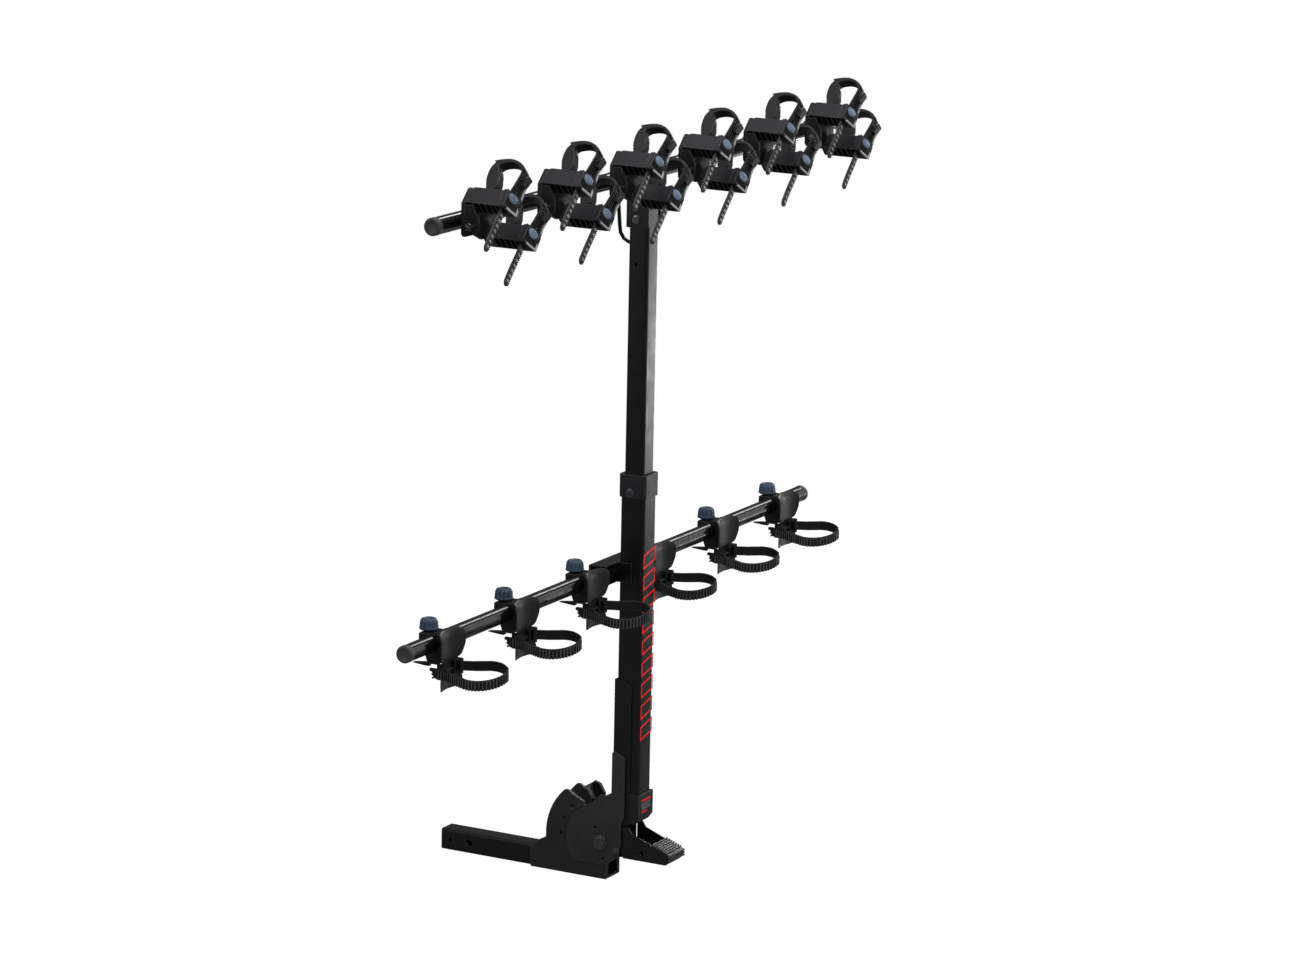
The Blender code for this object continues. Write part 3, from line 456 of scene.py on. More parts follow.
def arm_shell(offset):
    """An arm: a hollow moulding open underneath, with cross ribs, a strap notch and cheeks at its skewed nose."""
    half, (bottom, top) = ARM_HALF_WIDTH, ARM_Z
    wall, floor = 2.6, -6
    section = [(-half, bottom), (-half, top - 4), (-half + 4, top), (half - 3, top), (half, top - 3), (half, bottom),
               (half - wall, bottom), (half - wall, floor), (-half + wall, floor), (-half + wall, bottom)]
    bm = bmesh.new()
    add_prism(bm, [(offset + x, z) for x, z in section], "Y", y_of(ARM_LENGTH), y_of(0))
    shell = make_object("arm", bm, [])
    bm = bmesh.new()
    add_prism(bm, [(y_of(-1), 8), (y_of(-1), 30), (y_of(12), 30)], "X", offset - 30, offset + 30)
    carve(shell, tool_box((offset - 13, y_of(42), 6), (offset + 13, y_of(15), 40)),
          tool_box((offset - 12.7, y_of(99), -40), (offset + 12.7, y_of(71), 60)), make_object("tool", bm, []))
    inner = half - wall
    rib_starts, rib_thickness = (29, 43, 57), 2.2
    bm = bmesh.new()
    for start in rib_starts:
        add_box(bm, (offset - inner, y_of(start + rib_thickness), bottom + 0.2),
                (offset + inner, y_of(start), floor + 0.5))
    add_box(bm, (offset - inner - 0.2, y_of(19), bottom + 0.1), (offset + inner + 0.2, y_of(0.2), floor + 0.5))
    add_box(bm, (offset - inner, y_of(70.8), bottom + 0.3), (offset + inner, y_of(68.6), top - 3))
    ribs = make_object("ribs", bm, [])
    bm = bmesh.new()
    for sign, front in ((-1, 90.5), (1, 103)):
        low, high = sorted((offset + sign * 13.2, offset + sign * (half + 0.8)))
        cheek = [(y_of(78), bottom - 0.4), (y_of(78), top - 0.5), (y_of(front - 3), top),
                 (y_of(front), top - 2), (y_of(front + 1), bottom + 2), (y_of(front - 2), bottom - 0.4)]
        add_prism(bm, cheek, "X", low, high)
    cheeks = make_object("cheeks", bm, [])
    return [shell, ribs, cheeks]


def cradle_plate():
    """The plate behind both arms, with its side web, and the two-part clamp round the bar."""
    outline = [(-77.3, 46.2), (-77.3, -20), (-71, -27), (-34, -27), (0, -42), (14, -41), (35, -62), (65.4, -31.5),
               (65.4, 14), (58, 22), (34, 27), (0, 46), (-20.7, 51.8), (-40.5, 74), (-49, 74)]
    bm = bmesh.new()
    add_prism(bm, outline, "Y", ARM_BACK, ARM_BACK + 8)
    turned = Matrix.Rotation(-CRADLE_TURN, 4, "Y")
    plate = make_object("plate", bm, [])
    plate.data.transform(turned)
    bm = bmesh.new()
    web = [(1, 43.5), (1, -26), (-30, -18), (-35, -8), (-34, 18), (-20, 43.5)]
    add_prism(bm, [(ARM_BACK + y, z) for y, z in web], "X", -77, -72.5)
    for z in (-14, 4, 20):
        add_box(bm, (-73, ARM_BACK - 24, z), (-50, ARM_BACK + 0.5, z + 2))
    side = make_object("web", bm, [])
    carve(side, tool_rod("X", (ARM_BACK - 26, 0), 3.6, -90, -60, 20))
    side.data.transform(turned)
    bm = bmesh.new()
    block = [(ARM_BACK + 1, -25), (ARM_BACK + 1, 25)]
    block += arc((0, 0), 25.5, 78, -78, 12)
    add_prism(bm, block, "X", 20, 62)
    clamp = make_object("clamp", bm, [])
    carve(clamp, tool_rod("X", (0, 0), CLAMP_BORE, 0, 80, 40), tool_box((0, 14, -1.5), (80, 40, 1.5)))
    clamp.data.transform(turned)
    return [plate, side, clamp]


def cradle_hardware():
    """Nut and washer on the web, and two clamp screws."""
    bm = bmesh.new()
    add_rod(bm, "X", (ARM_BACK - 10, -4), 8.5, -78.6, -76.8, 28, round_off=0.4)
    add_rod(bm, "X", (ARM_BACK - 10, -4), 6.6, -83, -78.4, 6, round_off=0.6)
    add_rod(bm, "X", (ARM_BACK - 10, -4), 3.4, -84.6, -82.5, 16, round_off=0.5)
    for x in (31, 51):
        add_rod(bm, "Z", (x, -28), 4.2, 24.5, 27.5, 6, round_off=0.5)
    piece = make_object("hardware", bm, [STEEL], smooth=30)
    piece.data.transform(Matrix.Rotation(-CRADLE_TURN, 4, "Y"))
    return piece


def build_cradles():
    parts = []
    for offset in ARM_OFFSETS.values():
        parts += arm_shell(offset)
    for part in parts:
        for polygon in part.data.polygons:
            polygon.material_index = 0
    arms = fuse(parts, "cradle_arms_1", [SHELL], 1.1, 2)
    plate = fuse(cradle_plate(), "cradle_head_1", [DARK], 1.0, 2)
    hardware = cradle_hardware()
    hardware.name = "cradle_hardware_1"
    for k in STATIONS:
        for model, label, slot in ((arms, "arms", "black_plastic"), (plate, "head", "black_plastic"),
                                   (hardware, "hardware", "dark_steel")):
            piece = model if k == 1 else copy_of(model, f"cradle_{label}_{k}")
            piece.matrix_world = cradle_place(k)
            nodes = [f"cradle_{k}"] if label == "arms" else []
            settle(piece, "mast", slot, *nodes)


def strap_point(p, sideways):
    """Strap frame: x across the band, y out and z up, with the hinge as origin."""
    s, h = p
    return (sideways, -s - STRAP_HINGE[0], h + STRAP_ZERO_Z - STRAP_HINGE[1])


PAD_OUTER = [(31, -9), (30.5, 0), (27.5, 7.4), (23.5, 18), (20.3, 27), (18, 44), (19, 60), (24.5, 71.5)]
PAD_CAP = [(20.3, 76.5), (33.6, 81), (50.6, 84.3), (64.6, 84.1), (80.9, 78.6), (91, 72), (100, 63.5)]
PAD_LIP = [(99.5, 59.5), (94.5, 57)]
PAD_INNER = [(90.5, 60.5), (83.5, 68.5), (75, 73.6), (65, 75.4), (54, 74.2), (42.5, 70.2), (37, 63.5), (39.5, 56),
             (44, 48), (52, 24.5), (52, 9), (46, 0), (42, -9)]


def add_pad(bm, half_width):
    """The thick moulded part of a strap: horn, crown pad and end lip, with softened edges."""
    outline = [tuple(p) for p in smooth_path(PAD_OUTER, 3)]
    outline += [tuple(p) for p in smooth_path(PAD_CAP, 4)] + PAD_LIP
    outline += [tuple(p) for p in smooth_path(PAD_INNER, 3)]
    rings = []
    for sideways, inset in ((-half_width, 1.4), (-half_width + 0.9, 0.3), (-half_width + 2.2, 0.0),
                            (half_width - 2.2, 0.0), (half_width - 0.9, 0.3), (half_width, 1.4)):
        ring = []
        count = len(outline)
        for i, p in enumerate(outline):
            a, b = Vector(outline[i - 1]), Vector(outline[(i + 1) % count])
            along = (b - a).normalized() if (b - a).length > 1e-6 else Vector((1, 0))
            normal = Vector((along.y, -along.x))
            ring.append(strap_point(Vector(p) + normal * inset, sideways))
        rings.append(ring)
    add_rings(bm, rings)


def add_crests(bm, path, pitch, step, half_width, height, to_point, material, first=0.0):
    """Lighter strips on the tops of a band's teeth, a painted highlight, which fill the first half of each pitch."""
    starts, ends = 0.12 * pitch, 0.4 * pitch
    at = first
    while (at + pitch) / step < len(path):
        low = int(round((at + starts) / step))
        high = int(round((at + ends) / step))
        if high > low:
            add_band(bm, path[low:high + 1], half_width, lambda d: height, lambda d: 0.0, to_point, material=material)
        at += pitch


def build_strap():
    """One closed strap, with its pad, toothed leg and hanging tail, in the strap's hinge frame."""
    bm = bmesh.new()
    add_pad(bm, 12.5)
    add_rod(bm, "X", (0, 0), 5.6, -12, 12, 20, round_off=0.5)
    for x in (-7.5, 0, 7.5):
        rib = [(40.5, 57), (45.5, 46), (49.5, 34), (53, 24), (53, 9), (48, 2)]
        path = even_path(smooth_path(rib, 3), 3)
        add_band(bm, path, 1.0, lambda d: 1.2, lambda d: 0.5, lambda p, w, x=x: strap_point(p, x + w))
    pad = make_object("pad", bm, [RUBBER], smooth=40)

    pitch, tooth = 5.6, 2.4
    step = pitch / 5
    path = [(84, 69.5), (91, 62.5), (94.4, 54), (94.2, 44), (92.6, 30), (89.6, 8), (85.5, -8), (83, -26), (83, -42),
            (84, -68), (84, -103), (85, -133), (86, -146.5)]
    path = even_path(smooth_path(path, 12), step)

    def ridge(distance):
        return 1.5 + (tooth if (distance / pitch) % 1 < 0.5 else 0.0)

    bm = bmesh.new()
    turn_over = next(i for i, p in enumerate(path) if p.y < -44)
    add_band(bm, path[:turn_over + 2], 11.6, ridge, lambda d: 1.6, strap_point)
    add_crests(bm, path[:turn_over], pitch, step, 10.6, tooth + 1.6, strap_point, 3)
    leg = make_object("leg", bm, [RUBBER, TAIL, PATCH, TOOTH_TOP_HIGHLIGHT], smooth=30)
    bm = bmesh.new()
    tail_path = path[turn_over:]
    add_band(bm, tail_path, 9.5, ridge, lambda d: 1.6, strap_point, material=1, taper=11)
    per_patch = int(14 / step)
    for first in range(6, len(tail_path) - 12, per_patch):
        patch = tail_path[first:first + int(per_patch * 0.55)]
        add_band(bm, patch, 4.6, lambda d: tooth + 1.8, lambda d: 0.0, strap_point, material=2)
    tail = make_object("tail", bm, [RUBBER, TAIL, PATCH], smooth=30)
    return fuse([pad, leg, tail], "cradle_strap_model", [RUBBER, TAIL, PATCH, TOOTH_TOP_HIGHLIGHT], smooth=32)


def nose_face(x, z):
    """Distance out of the nose's skewed face; it stands further out on the right than on the left."""
    return 90.8 + 17.2 * (x + 18) / 36 + (0.05 * (14 - z) if z > -14 else 1.4) - max(0.0, z - 14) * 0.25


def build_buckle():
    """The latch at the nose: a skewed housing, a light rim on two sides, a round button and a lever's end."""
    half = 18.2
    centre_x, centre_z = -2.5, 11.5
    steps = 40

    def face_point(x, z, lift):
        reach = nose_face(x, z)
        return strap_point((reach + lift * 0.9, z - STRAP_ZERO_Z), x - lift * 0.43)

    bm = bmesh.new()
    rings = []
    for x in (-half, -9, 0, 9, half):
        front = [(nose_face(x, z), z) for z in (24, 14, 0, -15)]
        side = [(84, 25.5), (nose_face(x, 24) - 3, 26.5)] + front + [(nose_face(x, -15) - 3, -19.6), (82, -20)]
        side += [(82, -14), (88, -6)]
        rings.append([strap_point((s, z - STRAP_ZERO_Z), x) for s, z in side])
    add_rings(bm, rings)
    cheek = [(92, 18), (106, 20), (104, 38), (104.5, 54), (96, 56), (93.5, 40)]
    add_prism(bm, [strap_point((s, z - STRAP_ZERO_Z), 0)[1:] for s, z in cheek], "X", 9, half - 0.2)
    housing = make_object("housing", bm, [DARK], smooth=30)
    bm = bmesh.new()
    rim = [(-13, -19.3), (half + 0.4, -19.3), (half + 0.4, 25), (half - 4.4, 25), (half - 4.4, -14.6), (-13, -14.6)]
    add_rings(bm, [[face_point(x, z, lift) for x, z in rim] for lift in (-2.0, 1.0)])
    lever = [(103, 20), (106.5, 24), (104.5, 38), (105.5, 54), (100.5, 54), (99.5, 38), (99, 22)]
    points = [strap_point((s, z - STRAP_ZERO_Z), 0)[1:] for s, z in lever]
    add_prism(bm, points, "X", half - 5, half + 0.2)
    bezel = make_object("bezel", bm, [BEZEL], smooth=40)
    add_bevel(bezel, 0.6, 2)
    bm = bmesh.new()
    rings = []
    for lift, scale in ((-3, 1.0), (1.2, 1.0), (2.2, 0.95), (3.0, 0.84), (3.3, 0.6), (3.3, 0.3), (3.3, 0.06)):
        ring = []
        for i in range(steps):
            a = 2 * pi * i / steps
            ring.append(face_point(centre_x + 11.6 * scale * cos(a), centre_z + 11.8 * scale * sin(a), lift))
        rings.append(ring)
    add_rings(bm, rings)
    for shift in (-5.0, 0, 5.0):
        rings = []
        for lift, grow in ((3.0, 0.8), (4.3, 0.4)):
            corners = [(-6.5, shift - grow), (6.5, shift - grow), (6.5, shift + grow), (-6.5, shift + grow)]
            rings.append([face_point(centre_x + x, centre_z + z, lift) for x, z in corners])
        add_rings(bm, rings)
    button = make_object("button", bm, [BUTTON], smooth=40)
    bm = bmesh.new()
    rings = []
    for radius, lift in ((15.0, 0.0), (15.0, 2.0), (13.8, 3.0), (12.6, 2.0), (12.6, -1.0)):
        rings.append([face_point(centre_x + radius * cos(2 * pi * i / steps),
                                 centre_z + radius * sin(2 * pi * i / steps), lift) for i in range(steps)])
    add_rings(bm, rings, closed=True)
    tongue = [(105, 50), (111.3, 73.5), (109, 76), (106, 75), (98.5, 62), (98, 50)]
    points = [strap_point((s, z - STRAP_ZERO_Z), 0)[1:] for s, z in tongue]
    add_prism(bm, points, "X", 0.5, half - 1.5)
    for s, z, radius in ((84, -17, 3.6), (93.5, -17.5, 4.2)):
        point = strap_point((s, z - STRAP_ZERO_Z), 0)
        add_rod(bm, "X", (point[1], point[2]), radius, -half - 1.0, -half + 8, 14, round_off=0.8)
    detail = make_object("detail", bm, [DARK], smooth=35)
    housing = fuse([housing, detail], "buckle_housing_model", [DARK], 0.7, 2)
    return housing, bezel, button


def build_cradle_straps():
    strap = build_strap()
    housing, bezel, button = build_buckle()
    bezel.name, button.name = "buckle_bezel_model", "buckle_button_model"
    models = ((strap, "cradle_strap", "black_rubber"), (housing, "buckle_housing", "black_plastic"),
              (bezel, "buckle_bezel", "black_plastic"), (button, "buckle_button", "blue_plastic"))
    for k in STATIONS:
        for letter, offset in ARM_OFFSETS.items():
            hinge = Matrix.Translation(Vector((offset, y_of(-STRAP_HINGE[0]), STRAP_HINGE[1])) * MM)
            for model, label, slot in models:
                piece = copy_of(model, f"{label}_piece_{k}{letter}")
                piece.matrix_world = cradle_place(k) @ hinge
                node = f"cradle_strap_{k}{letter}"
                settle(piece, node, slot, *([node] if label == "cradle_strap" else []))
    for model, _, _ in models:
        bpy.data.objects.remove(model, do_unlink=True)


# ------------------------------------------------------------------ wheel trays

TRAY_EDGE = [(27.3, 35), (26.5, 43), (22, 48.5), (12, 50.3), (-6, 50.3), (-20, 46.5), (-33, 40.5), (-39, 30),
             (-44, 25), (-54, 22), (-62, 24), (-69, 35), (-77, 42), (-86, 44), (-95, 42), (-103, 38)]


def tray_y(x, z):
    """The tray's face: a tyre channel open towards -Y, rolled forward at its top lip."""
    roll = 5.0 * max(0.0, (z - 12) / 15) ** 2
    return -25 - 15 * (x / 50) ** 2 + roll


def tray_shell():
    """The tray's curved face, with a rounded outline, a waist and a flared tail."""
    rows = [(point.x, point.y) for point in smooth_path(TRAY_EDGE, 3)]
    columns = [-1, -0.9, -0.75, -0.55, -0.35, -0.17, 0, 0.17, 0.35, 0.55, 0.75, 0.9, 1]
    tail_z, last_z = -80, rows[-1][0]
    thickness = 3.6
    bm = bmesh.new()
    layers = []
    for depth in (0.0, thickness):
        grid = []
        for z, half in rows:
            line = []
            for t in columns:
                x = t * half
                lift = z
                if z < tail_z:
                    lift = z + 4.0 * max(0.0, abs(t) - 0.6) * (tail_z - z) / (tail_z - last_z)
                line.append(bm.verts.new(Vector((x, tray_y(x, lift) + depth, lift)) * MM))
            grid.append(line)
        layers.append(grid)
    height, width = len(rows), len(columns)
    for grid in layers:
        for r in range(height - 1):
            for c in range(width - 1):
                bm.faces.new((grid[r][c], grid[r][c + 1], grid[r + 1][c + 1], grid[r + 1][c]))
    border = [(0, c) for c in range(width)] + [(r, width - 1) for r in range(1, height)]
    border += [(height - 1, c) for c in range(width - 2, -1, -1)] + [(r, 0) for r in range(height - 2, 0, -1)]
    front, rear = layers
    for (r0, c0), (r1, c1) in zip(border, border[1:] + border[:1]):
        bm.faces.new((front[r0][c0], front[r1][c1], rear[r1][c1], rear[r0][c0]))
    return make_object("shell", bm, [TRAY], smooth=50)


def tray_clamp():
    """The split clamp behind a tray, with stiffening ribs, the knob's landing and the strap's hinge lugs."""
    side = [(33, -16), (33, 18), (30, 21), (0, 21), (-5, 24.5), (-18, 24.5), (-22, 18), (-22, -40), (-14, -46),
            (10, -46), (16, -30)]
    bm = bmesh.new()
    add_prism(bm, side, "X", -26, 26)
    clamp = make_object("clamp", bm, [DARK])
    carve(clamp, tool_rod("X", (0, 0), CLAMP_BORE, -60, 60, 40))
    carve(clamp, tool_box((-60, 15, -4), (60, 40, -1)))
    carve(clamp, tool_rod("Z", (0, KNOB_Y), 3.4, -60, 40, 20))
    for sign in (-1, 1):
        low, high = sorted((sign * 19, sign * 30))
        carve(clamp, tool_box((low, 22, -12), (high, 30, -6)), tool_box((low, -18, -41), (high, 6, -24)))
    rim = [(30, -14), (30, 16), (27, 19), (0, 19), (-5, 22), (-16, 22), (-20, 16), (-20, -40), (-14, -44), (8, -44),
           (14, -30)]
    bm = bmesh.new()
    for low, high in ((-28.2, -26), (25.8, 28)):
        add_prism(bm, rim, "X", low, high)
    flange = make_object("flange", bm, [DARK])
    carve(flange, tool_rod("X", (0, 0), CLAMP_BORE, -60, 60, 40))
    carve(flange, tool_box((-60, 15, -4), (60, 40, -1)))
    lug = [(12, -24.5), (12, -34)] + arc(BAND_HINGE, 6, 200, 380, 8) + [(36, -24.5)]
    bm = bmesh.new()
    for low in (-72.2, -44.1):
        add_prism(bm, lug, "Z", low, low + 4.8)
    add_rod(bm, "Z", BAND_HINGE, 2.2, -74, -38, 16, round_off=0.3)
    add_box(bm, (-37, -46, -53.6), (-12, -26, -49.4))
    add_box(bm, (-24, -27, -80), (-20, -12, -44))
    add_box(bm, (12, -36, -67), (28.2, -25, -44.5))
    tab = [(8, -52), (20, -51.5), (48.3, -49), (48.3, -48), (20, -44.5), (8, -44)]
    add_prism(bm, tab, "X", -25.7, -14.3)
    lugs = make_object("lugs", bm, [DARK])
    return [clamp, flange, lugs]


def build_trays():
    face = tray_shell()
    face.name = "wheel_tray_face_1"
    add_bevel(face, 1.2, 3, 50)
    clamp = fuse(tray_clamp(), "wheel_tray_clamp_1", [DARK], 0.8, 2)
    for k in STATIONS:
        spot = Matrix.Translation((STATION_X[k], LOWER_BAR.y, LOWER_BAR.z))
        for model, label in ((face, "face"), (clamp, "clamp")):
            piece = model if k == 1 else copy_of(model, f"wheel_tray_{label}_{k}")
            piece.matrix_world = spot
            nodes = [f"wheel_tray_{k}"] if label == "face" else []
            settle(piece, f"tray_{k}", "black_plastic", *nodes)


def build_wheel_straps():
    """Toothed bands: out from the hinge, round the tyre's path, back past the neck and on behind."""
    radius, reach = 54, -113
    far = [(31, -42), (34, -50), (42, -68)]
    loop = arc((0, reach), radius, 24, -204, 22)
    near = [(-42, -68), (-34, -50), (-29, -38), (-26.5, -20), (-26.5, 3.5)]
    step = 1.2
    path = even_path(smooth_path(far + loop + near, 6), step)
    pitch, tooth = 7.4, 2.8
    toothed_from = 148.0

    def outer(distance):
        if distance < toothed_from:
            return 1.6
        return 1.6 + (tooth if (distance / pitch) % 1 < 0.5 else 0.0)

    def to_point(p, sideways):
        shift = 0.21 * min(0, p.x - 18) + 0.25 * max(0, p.x - 42)
        return (p.x, p.y, sideways - 55.75 + shift)

    bm = bmesh.new()
    add_band(bm, path, 11.0, outer, lambda d: 1.8, to_point)
    add_rod(bm, "Z", BAND_HINGE, 5.3, -66.7, -44.8, 20, round_off=0.5)
    strap = make_object("strap", bm, [RUBBER], smooth=30)
    bm = bmesh.new()
    add_prism(bm, [(6, -58), (-5, -64), (1, -67), (-7, -71), (6, -82)], "X", -40, -10)
    carve(strap, make_object("tool", bm, []))
    for polygon in strap.data.polygons:
        polygon.material_index = 0
    bm = bmesh.new()
    add_crests(bm, path[:-14], pitch, step, 10.0, 4.7, to_point, 1, toothed_from)
    crests = make_object("crests", bm, [RUBBER, TOOTH_TOP_HIGHLIGHT])
    strap = fuse([strap, crests], "strap", [RUBBER, TOOTH_TOP_HIGHLIGHT])
    hinge = Vector((*BAND_HINGE, 0)) * MM
    strap.data.transform(Matrix.Translation(-hinge))
    strap.data.shade_smooth()
    strap.data.set_sharp_from_angle(angle=radians(32))
    strap.name = "wheel_strap_band_1"
    for k in STATIONS:
        piece = strap if k == 1 else copy_of(strap, f"wheel_strap_band_{k}")
        piece.matrix_world = Matrix.Translation(Vector((STATION_X[k], LOWER_BAR.y, LOWER_BAR.z)) + hinge)
        settle(piece, f"wheel_strap_{k}", "black_rubber", f"wheel_strap_{k}")


def build_knobs():
    """Fluted, domed knobs on a short hub."""
    flutes, steps = 12, 120
    radius = 21.4
    profile = [(21.7, 0.62), (22.2, 0.78), (23.5, 0.93), (25.2, 1.0), (27.5, 1.0), (28.3, 0.975), (36, 0.955),
               (42, 0.91), (45.6, 0.83), (47.6, 0.72), (48.4, 0.6), (48.2, 0.5), (46.8, 0.44), (46.6, 0.3),
               (46.6, 0.05)]
    bm = bmesh.new()
    rings = []
    for z, scale in profile:
        ring = []
        for i in range(steps):
            a = 2 * pi * i / steps
            flute = max(0.0, cos(flutes * a)) ** 2
            depth = 0.11 if 28 < z < 48 and scale > 0.6 else 0.0
            r = radius * scale * (1 - depth * flute)
            ring.append((r * cos(a), r * sin(a), z))
        rings.append(ring)
    add_rings(bm, rings)
    knob = make_object("knob_grip_1", bm, [BLUE], smooth=50)
    bm = bmesh.new()
    add_rod(bm, "Z", (0, 0), 3.0, -23.5, 26, 20, round_off=0.3)
    stud = make_object("knob_stud_1", bm, [STEEL])
    for k in STATIONS:
        spot = Matrix.Translation((STATION_X[k], LOWER_BAR.y + KNOB_Y * MM, LOWER_BAR.z))
        for model, label, slot in ((knob, "grip", "blue_plastic"), (stud, "stud", "dark_steel")):
            piece = model if k == 1 else copy_of(model, f"knob_{label}_{k}")
            piece.matrix_world = spot
            settle(piece, f"knob_{k}", slot, *([f"tray_knob_{k}"] if label == "grip" else []))


# ------------------------------------------------------------------ bars, mast and base

def build_bar_caps():
    """Domed push-in caps at the ends of both bars: the left ones are the lighter."""
    profile = ((-14, 19.35), (-13, 19.6), (-1.5, 19.6), (0.6, 19.0), (1.6, 17.4), (1.8, 14.5), (0.9, 13.6), (0.7, 2))
    for bar, centre in (("lower_bar", LOWER_BAR), ("top_bar", TOP_BAR)):
        for sign, side in ((-1, "left"), (1, "right")):
            bm = bmesh.new()
            rings = []
            for x, r in profile:
                rings.append([place_point("X", x * sign, u, v) for u, v in arc((0, 0), r, 0, 360, 40)[:-1]])
            add_rings(bm, rings)
            cap = make_object(f"{bar}_cap_{side}", bm, [CAP if sign < 0 else TRAY], smooth=45)
            cap.matrix_world = Matrix.Translation((sign * BAR_HALF * MM, centre.y, centre.z))
            settle(cap, "mast", "black_plastic")


def add_stroke_outline(bm, outline, width, y, thickness=0.25):
    """A closed line of the given width round an outline in the XZ plane, standing a little out of a face."""
    count = len(outline)
    area = sum(outline[i - 1][0] * outline[i][1] - outline[i][0] * outline[i - 1][1] for i in range(count))
    sign = 1 if area > 0 else -1
    inner = []
    for i in range(count):
        a, b, c = (Vector(outline[(i + d) % count]) for d in (-1, 0, 1))
        u, v = (b - a).normalized(), (c - b).normalized()
        nu, nv = Vector((-u.y, u.x)) * sign, Vector((-v.y, v.x)) * sign
        bend = nu + nv
        inner.append(b + bend / max(bend.length_squared / 2, 0.35) * width)
    rings = []
    for o, n in zip(outline, inner):
        rings.append([(o[0], y, o[1]), (n[0], y, n[1]), (n[0], y - thickness, n[1]), (o[0], y - thickness, o[1])])
    add_rings(bm, rings, closed=True)


def build_mast_graphic():
    """A column of equal slanting bars in outline down the front of the lower mast: plain trim, no lettering."""
    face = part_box("lower_mast")[0].y / MM - 0.05
    left, right, bottom = -27.0, 29.0, 344.0
    count, pitch, height, slant, line_width = 9, 51.0, 34.0, 14.0, 4.2
    bm = bmesh.new()
    for number in range(count):
        low = bottom + number * pitch
        outline = [(left, low), (right, low + slant), (right, low + slant + height), (left, low + height)]
        add_stroke_outline(bm, outline, line_width, face)
    piece = make_object("mast_graphic", bm, [RED], smooth=20)
    settle(piece, "mast", "black_metal")


def build_foot_label():
    """A plain sticker on the foot cover: a dark field with two red bars and rows of grey dashes."""
    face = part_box("foot_cover")[0].y / MM
    print_top, print_base = face - 0.5, face - 0.2
    bm = bmesh.new()
    add_box(bm, (-24, face - 0.3, 168), (24, face + 0.2, 206))
    field = make_object("label_field", bm, [DARK], 0.1, 1)
    bm = bmesh.new()
    add_box(bm, (-21, print_top, 198), (21, print_base, 203))
    add_box(bm, (-21, print_top, 171), (4, print_base, 175))
    bars = make_object("label_bars", bm, [RED], smooth=20)
    bm = bmesh.new()
    for row, z in enumerate((193.5, 189, 184.5, 180)):
        x = -21.0
        step = 0
        while x < 19:
            length = 3.0 + (step * 5 + row * 3) % 4
            add_box(bm, (x, print_top, z - 1.1), (min(x + length, 21), print_base, z + 1.1))
            x += length + 1.4
            step += 1
    dashes = make_object("label_dashes", bm, [GREY_PRINT], smooth=20)
    for piece in (field, bars, dashes):
        settle(piece, "mast", "black_plastic")


def build_end_plug():
    """A plug just inside the open end of the hitch bar."""
    low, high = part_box("hitch_bar")
    centre_z, front, half = (low.z + high.z) / 2 / MM, high.y / MM, 23.5
    bm = bmesh.new()
    add_box(bm, (-half, front - 5, centre_z - half), (half, front - 1.2, centre_z + half))
    piece = make_object("hitch_bar_plug", bm, [DARK], 1.0, 2)
    settle(piece, "base", "black_plastic")


CAD_LOOKS = {
    "hitch_bar": COAT, "base_plate_left": PLATE, "base_plate_right": PLATE, "tilt_plate_left": DISC,
    "tilt_plate_right": DISC, "stop_block": DARK, "lock_housing": COAT, "tilt_pedal": GLOSS, "mast_sleeve": COAT,
    "lower_mast": COAT, "upper_mast": COAT, "top_yoke": COAT, "top_bar": GLOSS, "lower_bar": GLOSS,
    "lower_bar_bracket": COAT, "lock_loop": GLOSS, "foot_cover": SHELL, "mid_collar": SHELL, "pedal_tread": TREAD,
    "pivot_bolt": STEEL, "mid_bolt": STEEL, "yoke_bolt": STEEL, "pedal_pin": STEEL, "lock_pin": STEEL,
}
ROUNDED = {
    "hitch_bar": 0.8, "base_plate_left": 0.9, "base_plate_right": 0.9, "tilt_plate_left": 1.4,
    "tilt_plate_right": 1.4, "stop_block": 1.0, "lock_housing": 0.6, "tilt_pedal": 0.9, "mast_sleeve": 0.8,
    "lower_mast": 0.5, "upper_mast": 0.5, "top_yoke": 1.2, "lower_bar_bracket": 1.2, "foot_cover": 1.6,
    "mid_collar": 1.2, "pedal_tread": 0.4, "pivot_bolt": 0.5, "mid_bolt": 0.5, "yoke_bolt": 0.5, "pedal_pin": 0.5,
    "lock_pin": 0.5,
}


def dress_cad():
    """Give each carried-over CAD node its finish, and round its edges with modifiers only."""
    for node, material in CAD_LOOKS.items():
        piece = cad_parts[node]
        if not piece.data.materials:
            piece.data.materials.append(material)
        for index in range(len(piece.material_slots)):
            piece.material_slots[index].material = material
        if node in ROUNDED:
            weld = piece.modifiers.new("weld", "WELD")
            weld.merge_threshold = 0.00001
            add_bevel(piece, ROUNDED[node], 2, 30)
            normals = piece.modifiers.new("normals", "WEIGHTED_NORMAL")
            normals.keep_sharp = False


# ------------------------------------------------------------------ floor, light and camera

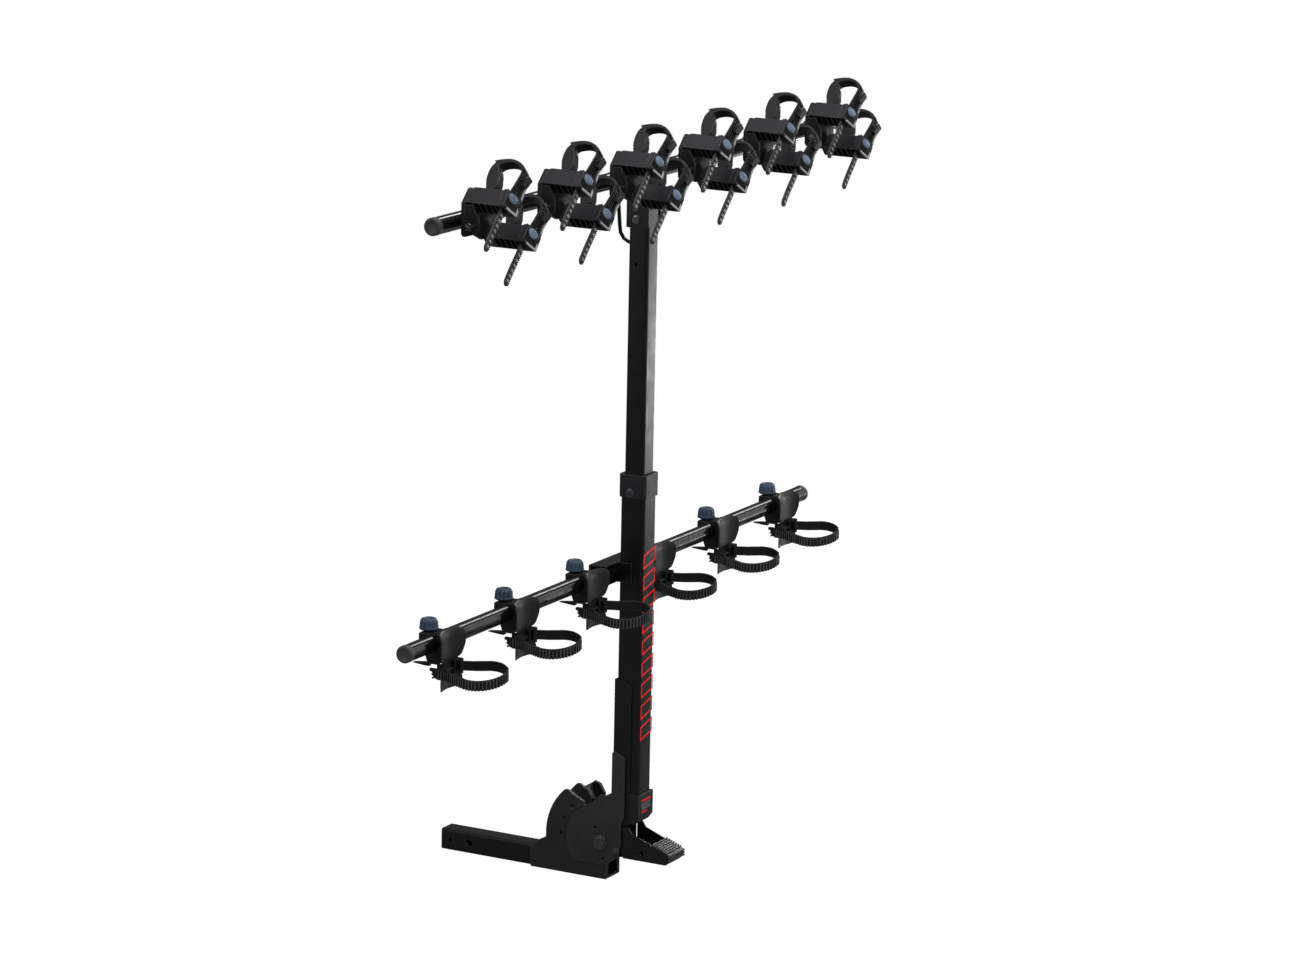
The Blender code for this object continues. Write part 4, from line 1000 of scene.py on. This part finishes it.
def build_floor():
    """A pale floor that the camera sees nearly white and the object reflects as a dull grey."""
    size = 60.0
    z = -0.0006
    mesh = bpy.data.meshes.new("floor")
    mesh.from_pydata([(-size, -size, z), (size, -size, z), (size, size, z), (-size, size, z)], [], [(0, 1, 2, 3)])
    floor = bpy.data.objects.new("floor", mesh)
    bpy.context.scene.collection.objects.link(floor)
    n = Nodes("pale_floor")
    tone = n.mix(n.noise(n.place(), 1.5), (0.86, 0.86, 0.86), (0.9, 0.9, 0.9))
    n.link(tone, n.shader.inputs["Base Color"])
    n.shader.inputs["Roughness"].default_value = 0.9
    n.shader.inputs["Specular IOR Level"].default_value = 0.0
    glow = n.add("ShaderNodeEmission", in_Color=(1, 1, 1, 1), in_Strength=1.13)
    bright = n.add("ShaderNodeMixShader", in_0=0.86)
    n.link(n.shader.outputs[0], bright.inputs[1])
    n.link(glow.outputs[0], bright.inputs[2])
    dull = n.add("ShaderNodeBsdfDiffuse", in_Color=(0.3, 0.3, 0.3, 1))
    path = n.add("ShaderNodeLightPath")
    choice = n.add("ShaderNodeMixShader")
    n.link(path.outputs["Is Camera Ray"], choice.inputs[0])
    n.link(dull.outputs[0], choice.inputs[1])
    n.link(bright.outputs[0], choice.inputs[2])
    n.link(choice.outputs[0], n.tree.nodes["Material Output"].inputs["Surface"])
    mesh.materials.append(n.material)


def area_light(name, place, target, width, height, watts):
    data = bpy.data.lights.new(name, "AREA")
    data.shape = "RECTANGLE"
    data.size = width
    data.size_y = height
    data.energy = watts
    light = bpy.data.objects.new(name, data)
    bpy.context.scene.collection.objects.link(light)
    light.location = place
    light.rotation_euler = (Vector(target) - Vector(place)).to_track_quat("-Z", "Y").to_euler()
    return light


def bar_strip(name, y, z, height, watts):
    """A long lamp past the bars' right ends, seen only as a line that it draws along them."""
    length, place, target = 4.6, (4.6, y, z), (0, -0.05, 1.25)
    strip = area_light(name, place, target, length, height, watts)
    along = Vector((1, 0, 0))
    back = Vector((0, y - target[1], z - target[2])).normalized()
    turn = Matrix((along, back.cross(along), back)).transposed().to_4x4()
    strip.matrix_world = Matrix.Translation(place) @ turn
    strip.visible_camera = False
    strip.visible_diffuse = False


def build_light():
    world = bpy.data.worlds.new("studio")
    bpy.context.scene.world = world
    world.use_nodes = True
    tree = world.node_tree
    seen = tree.nodes["Background"]
    seen.inputs["Color"].default_value = (1, 1, 1, 1)
    seen.inputs["Strength"].default_value = 1.0
    around = tree.nodes.new("ShaderNodeBackground")
    around.inputs["Color"].default_value = (0.95, 0.97, 1.0, 1)
    around.inputs["Strength"].default_value = 0.12
    mix = tree.nodes.new("ShaderNodeMixShader")
    path = tree.nodes.new("ShaderNodeLightPath")
    tree.links.new(path.outputs["Is Camera Ray"], mix.inputs[0])
    tree.links.new(around.outputs[0], mix.inputs[1])
    tree.links.new(seen.outputs[0], mix.inputs[2])
    tree.links.new(mix.outputs[0], tree.nodes["World Output"].inputs["Surface"])
    aim = (0, -0.05, 0.9)
    area_light("overhead", (-0.6, -0.8, 5.2), aim, 4.0, 4.0, 135)
    area_light("left_strip", (-3.2, 1.9, 2.6), aim, 0.35, 3.2, 20)
    area_light("front_strip", (-1.2, -4.4, 2.4), aim, 0.5, 3.6, 26)
    area_light("right_rim", (3.6, -2.2, 1.8), aim, 3.0, 3.4, 24)
    area_light("camera_fill", (-5.2, -2.9, 2.6), aim, 2.2, 2.2, 12)
    area_light("corner_rim", (4.0, 0.3, 0.9), aim, 0.8, 2.5, 70)
    bar_strip("bar_strip_0", 0.55, 3.9, 0.5, 44)
    bar_strip("bar_strip_1", -2.0, 2.6, 0.22, 22)
    bar_strip("bar_strip_2", -1.8, 0.5, 0.26, 48)


def build_camera():
    """The photograph's viewing angle, with a slight roll."""
    azimuth, elevation, roll = radians(-61.82144), radians(12.45363), radians(1.17918)
    right = Vector((cos(azimuth), sin(azimuth), 0))
    ahead = Vector((-sin(azimuth) * cos(elevation), cos(azimuth) * cos(elevation), -sin(elevation)))
    up = right.cross(ahead)
    turned_right = right * cos(roll) + up * sin(roll)
    turned_up = up * cos(roll) - right * sin(roll)
    pose = Matrix((turned_right, turned_up, -ahead)).transposed().to_4x4()
    pose.translation = (-9.21596, -5.02051, 3.26269)
    data = bpy.data.cameras.new("camera")
    data.sensor_width = 36
    data.lens = 130.1
    data.clip_end = 200
    camera = bpy.data.objects.new("camera", data)
    bpy.context.scene.collection.objects.link(camera)
    camera.matrix_world = pose
    bpy.context.scene.camera = camera
    bpy.context.scene.view_settings.view_transform = "Standard"


dress_cad()
build_cradles()
build_cradle_straps()
build_trays()
build_wheel_straps()
build_knobs()
build_bar_caps()
build_mast_graphic()
build_foot_label()
build_end_plug()
build_floor()
build_light()
build_camera()

bpy.context.view_layer.update()
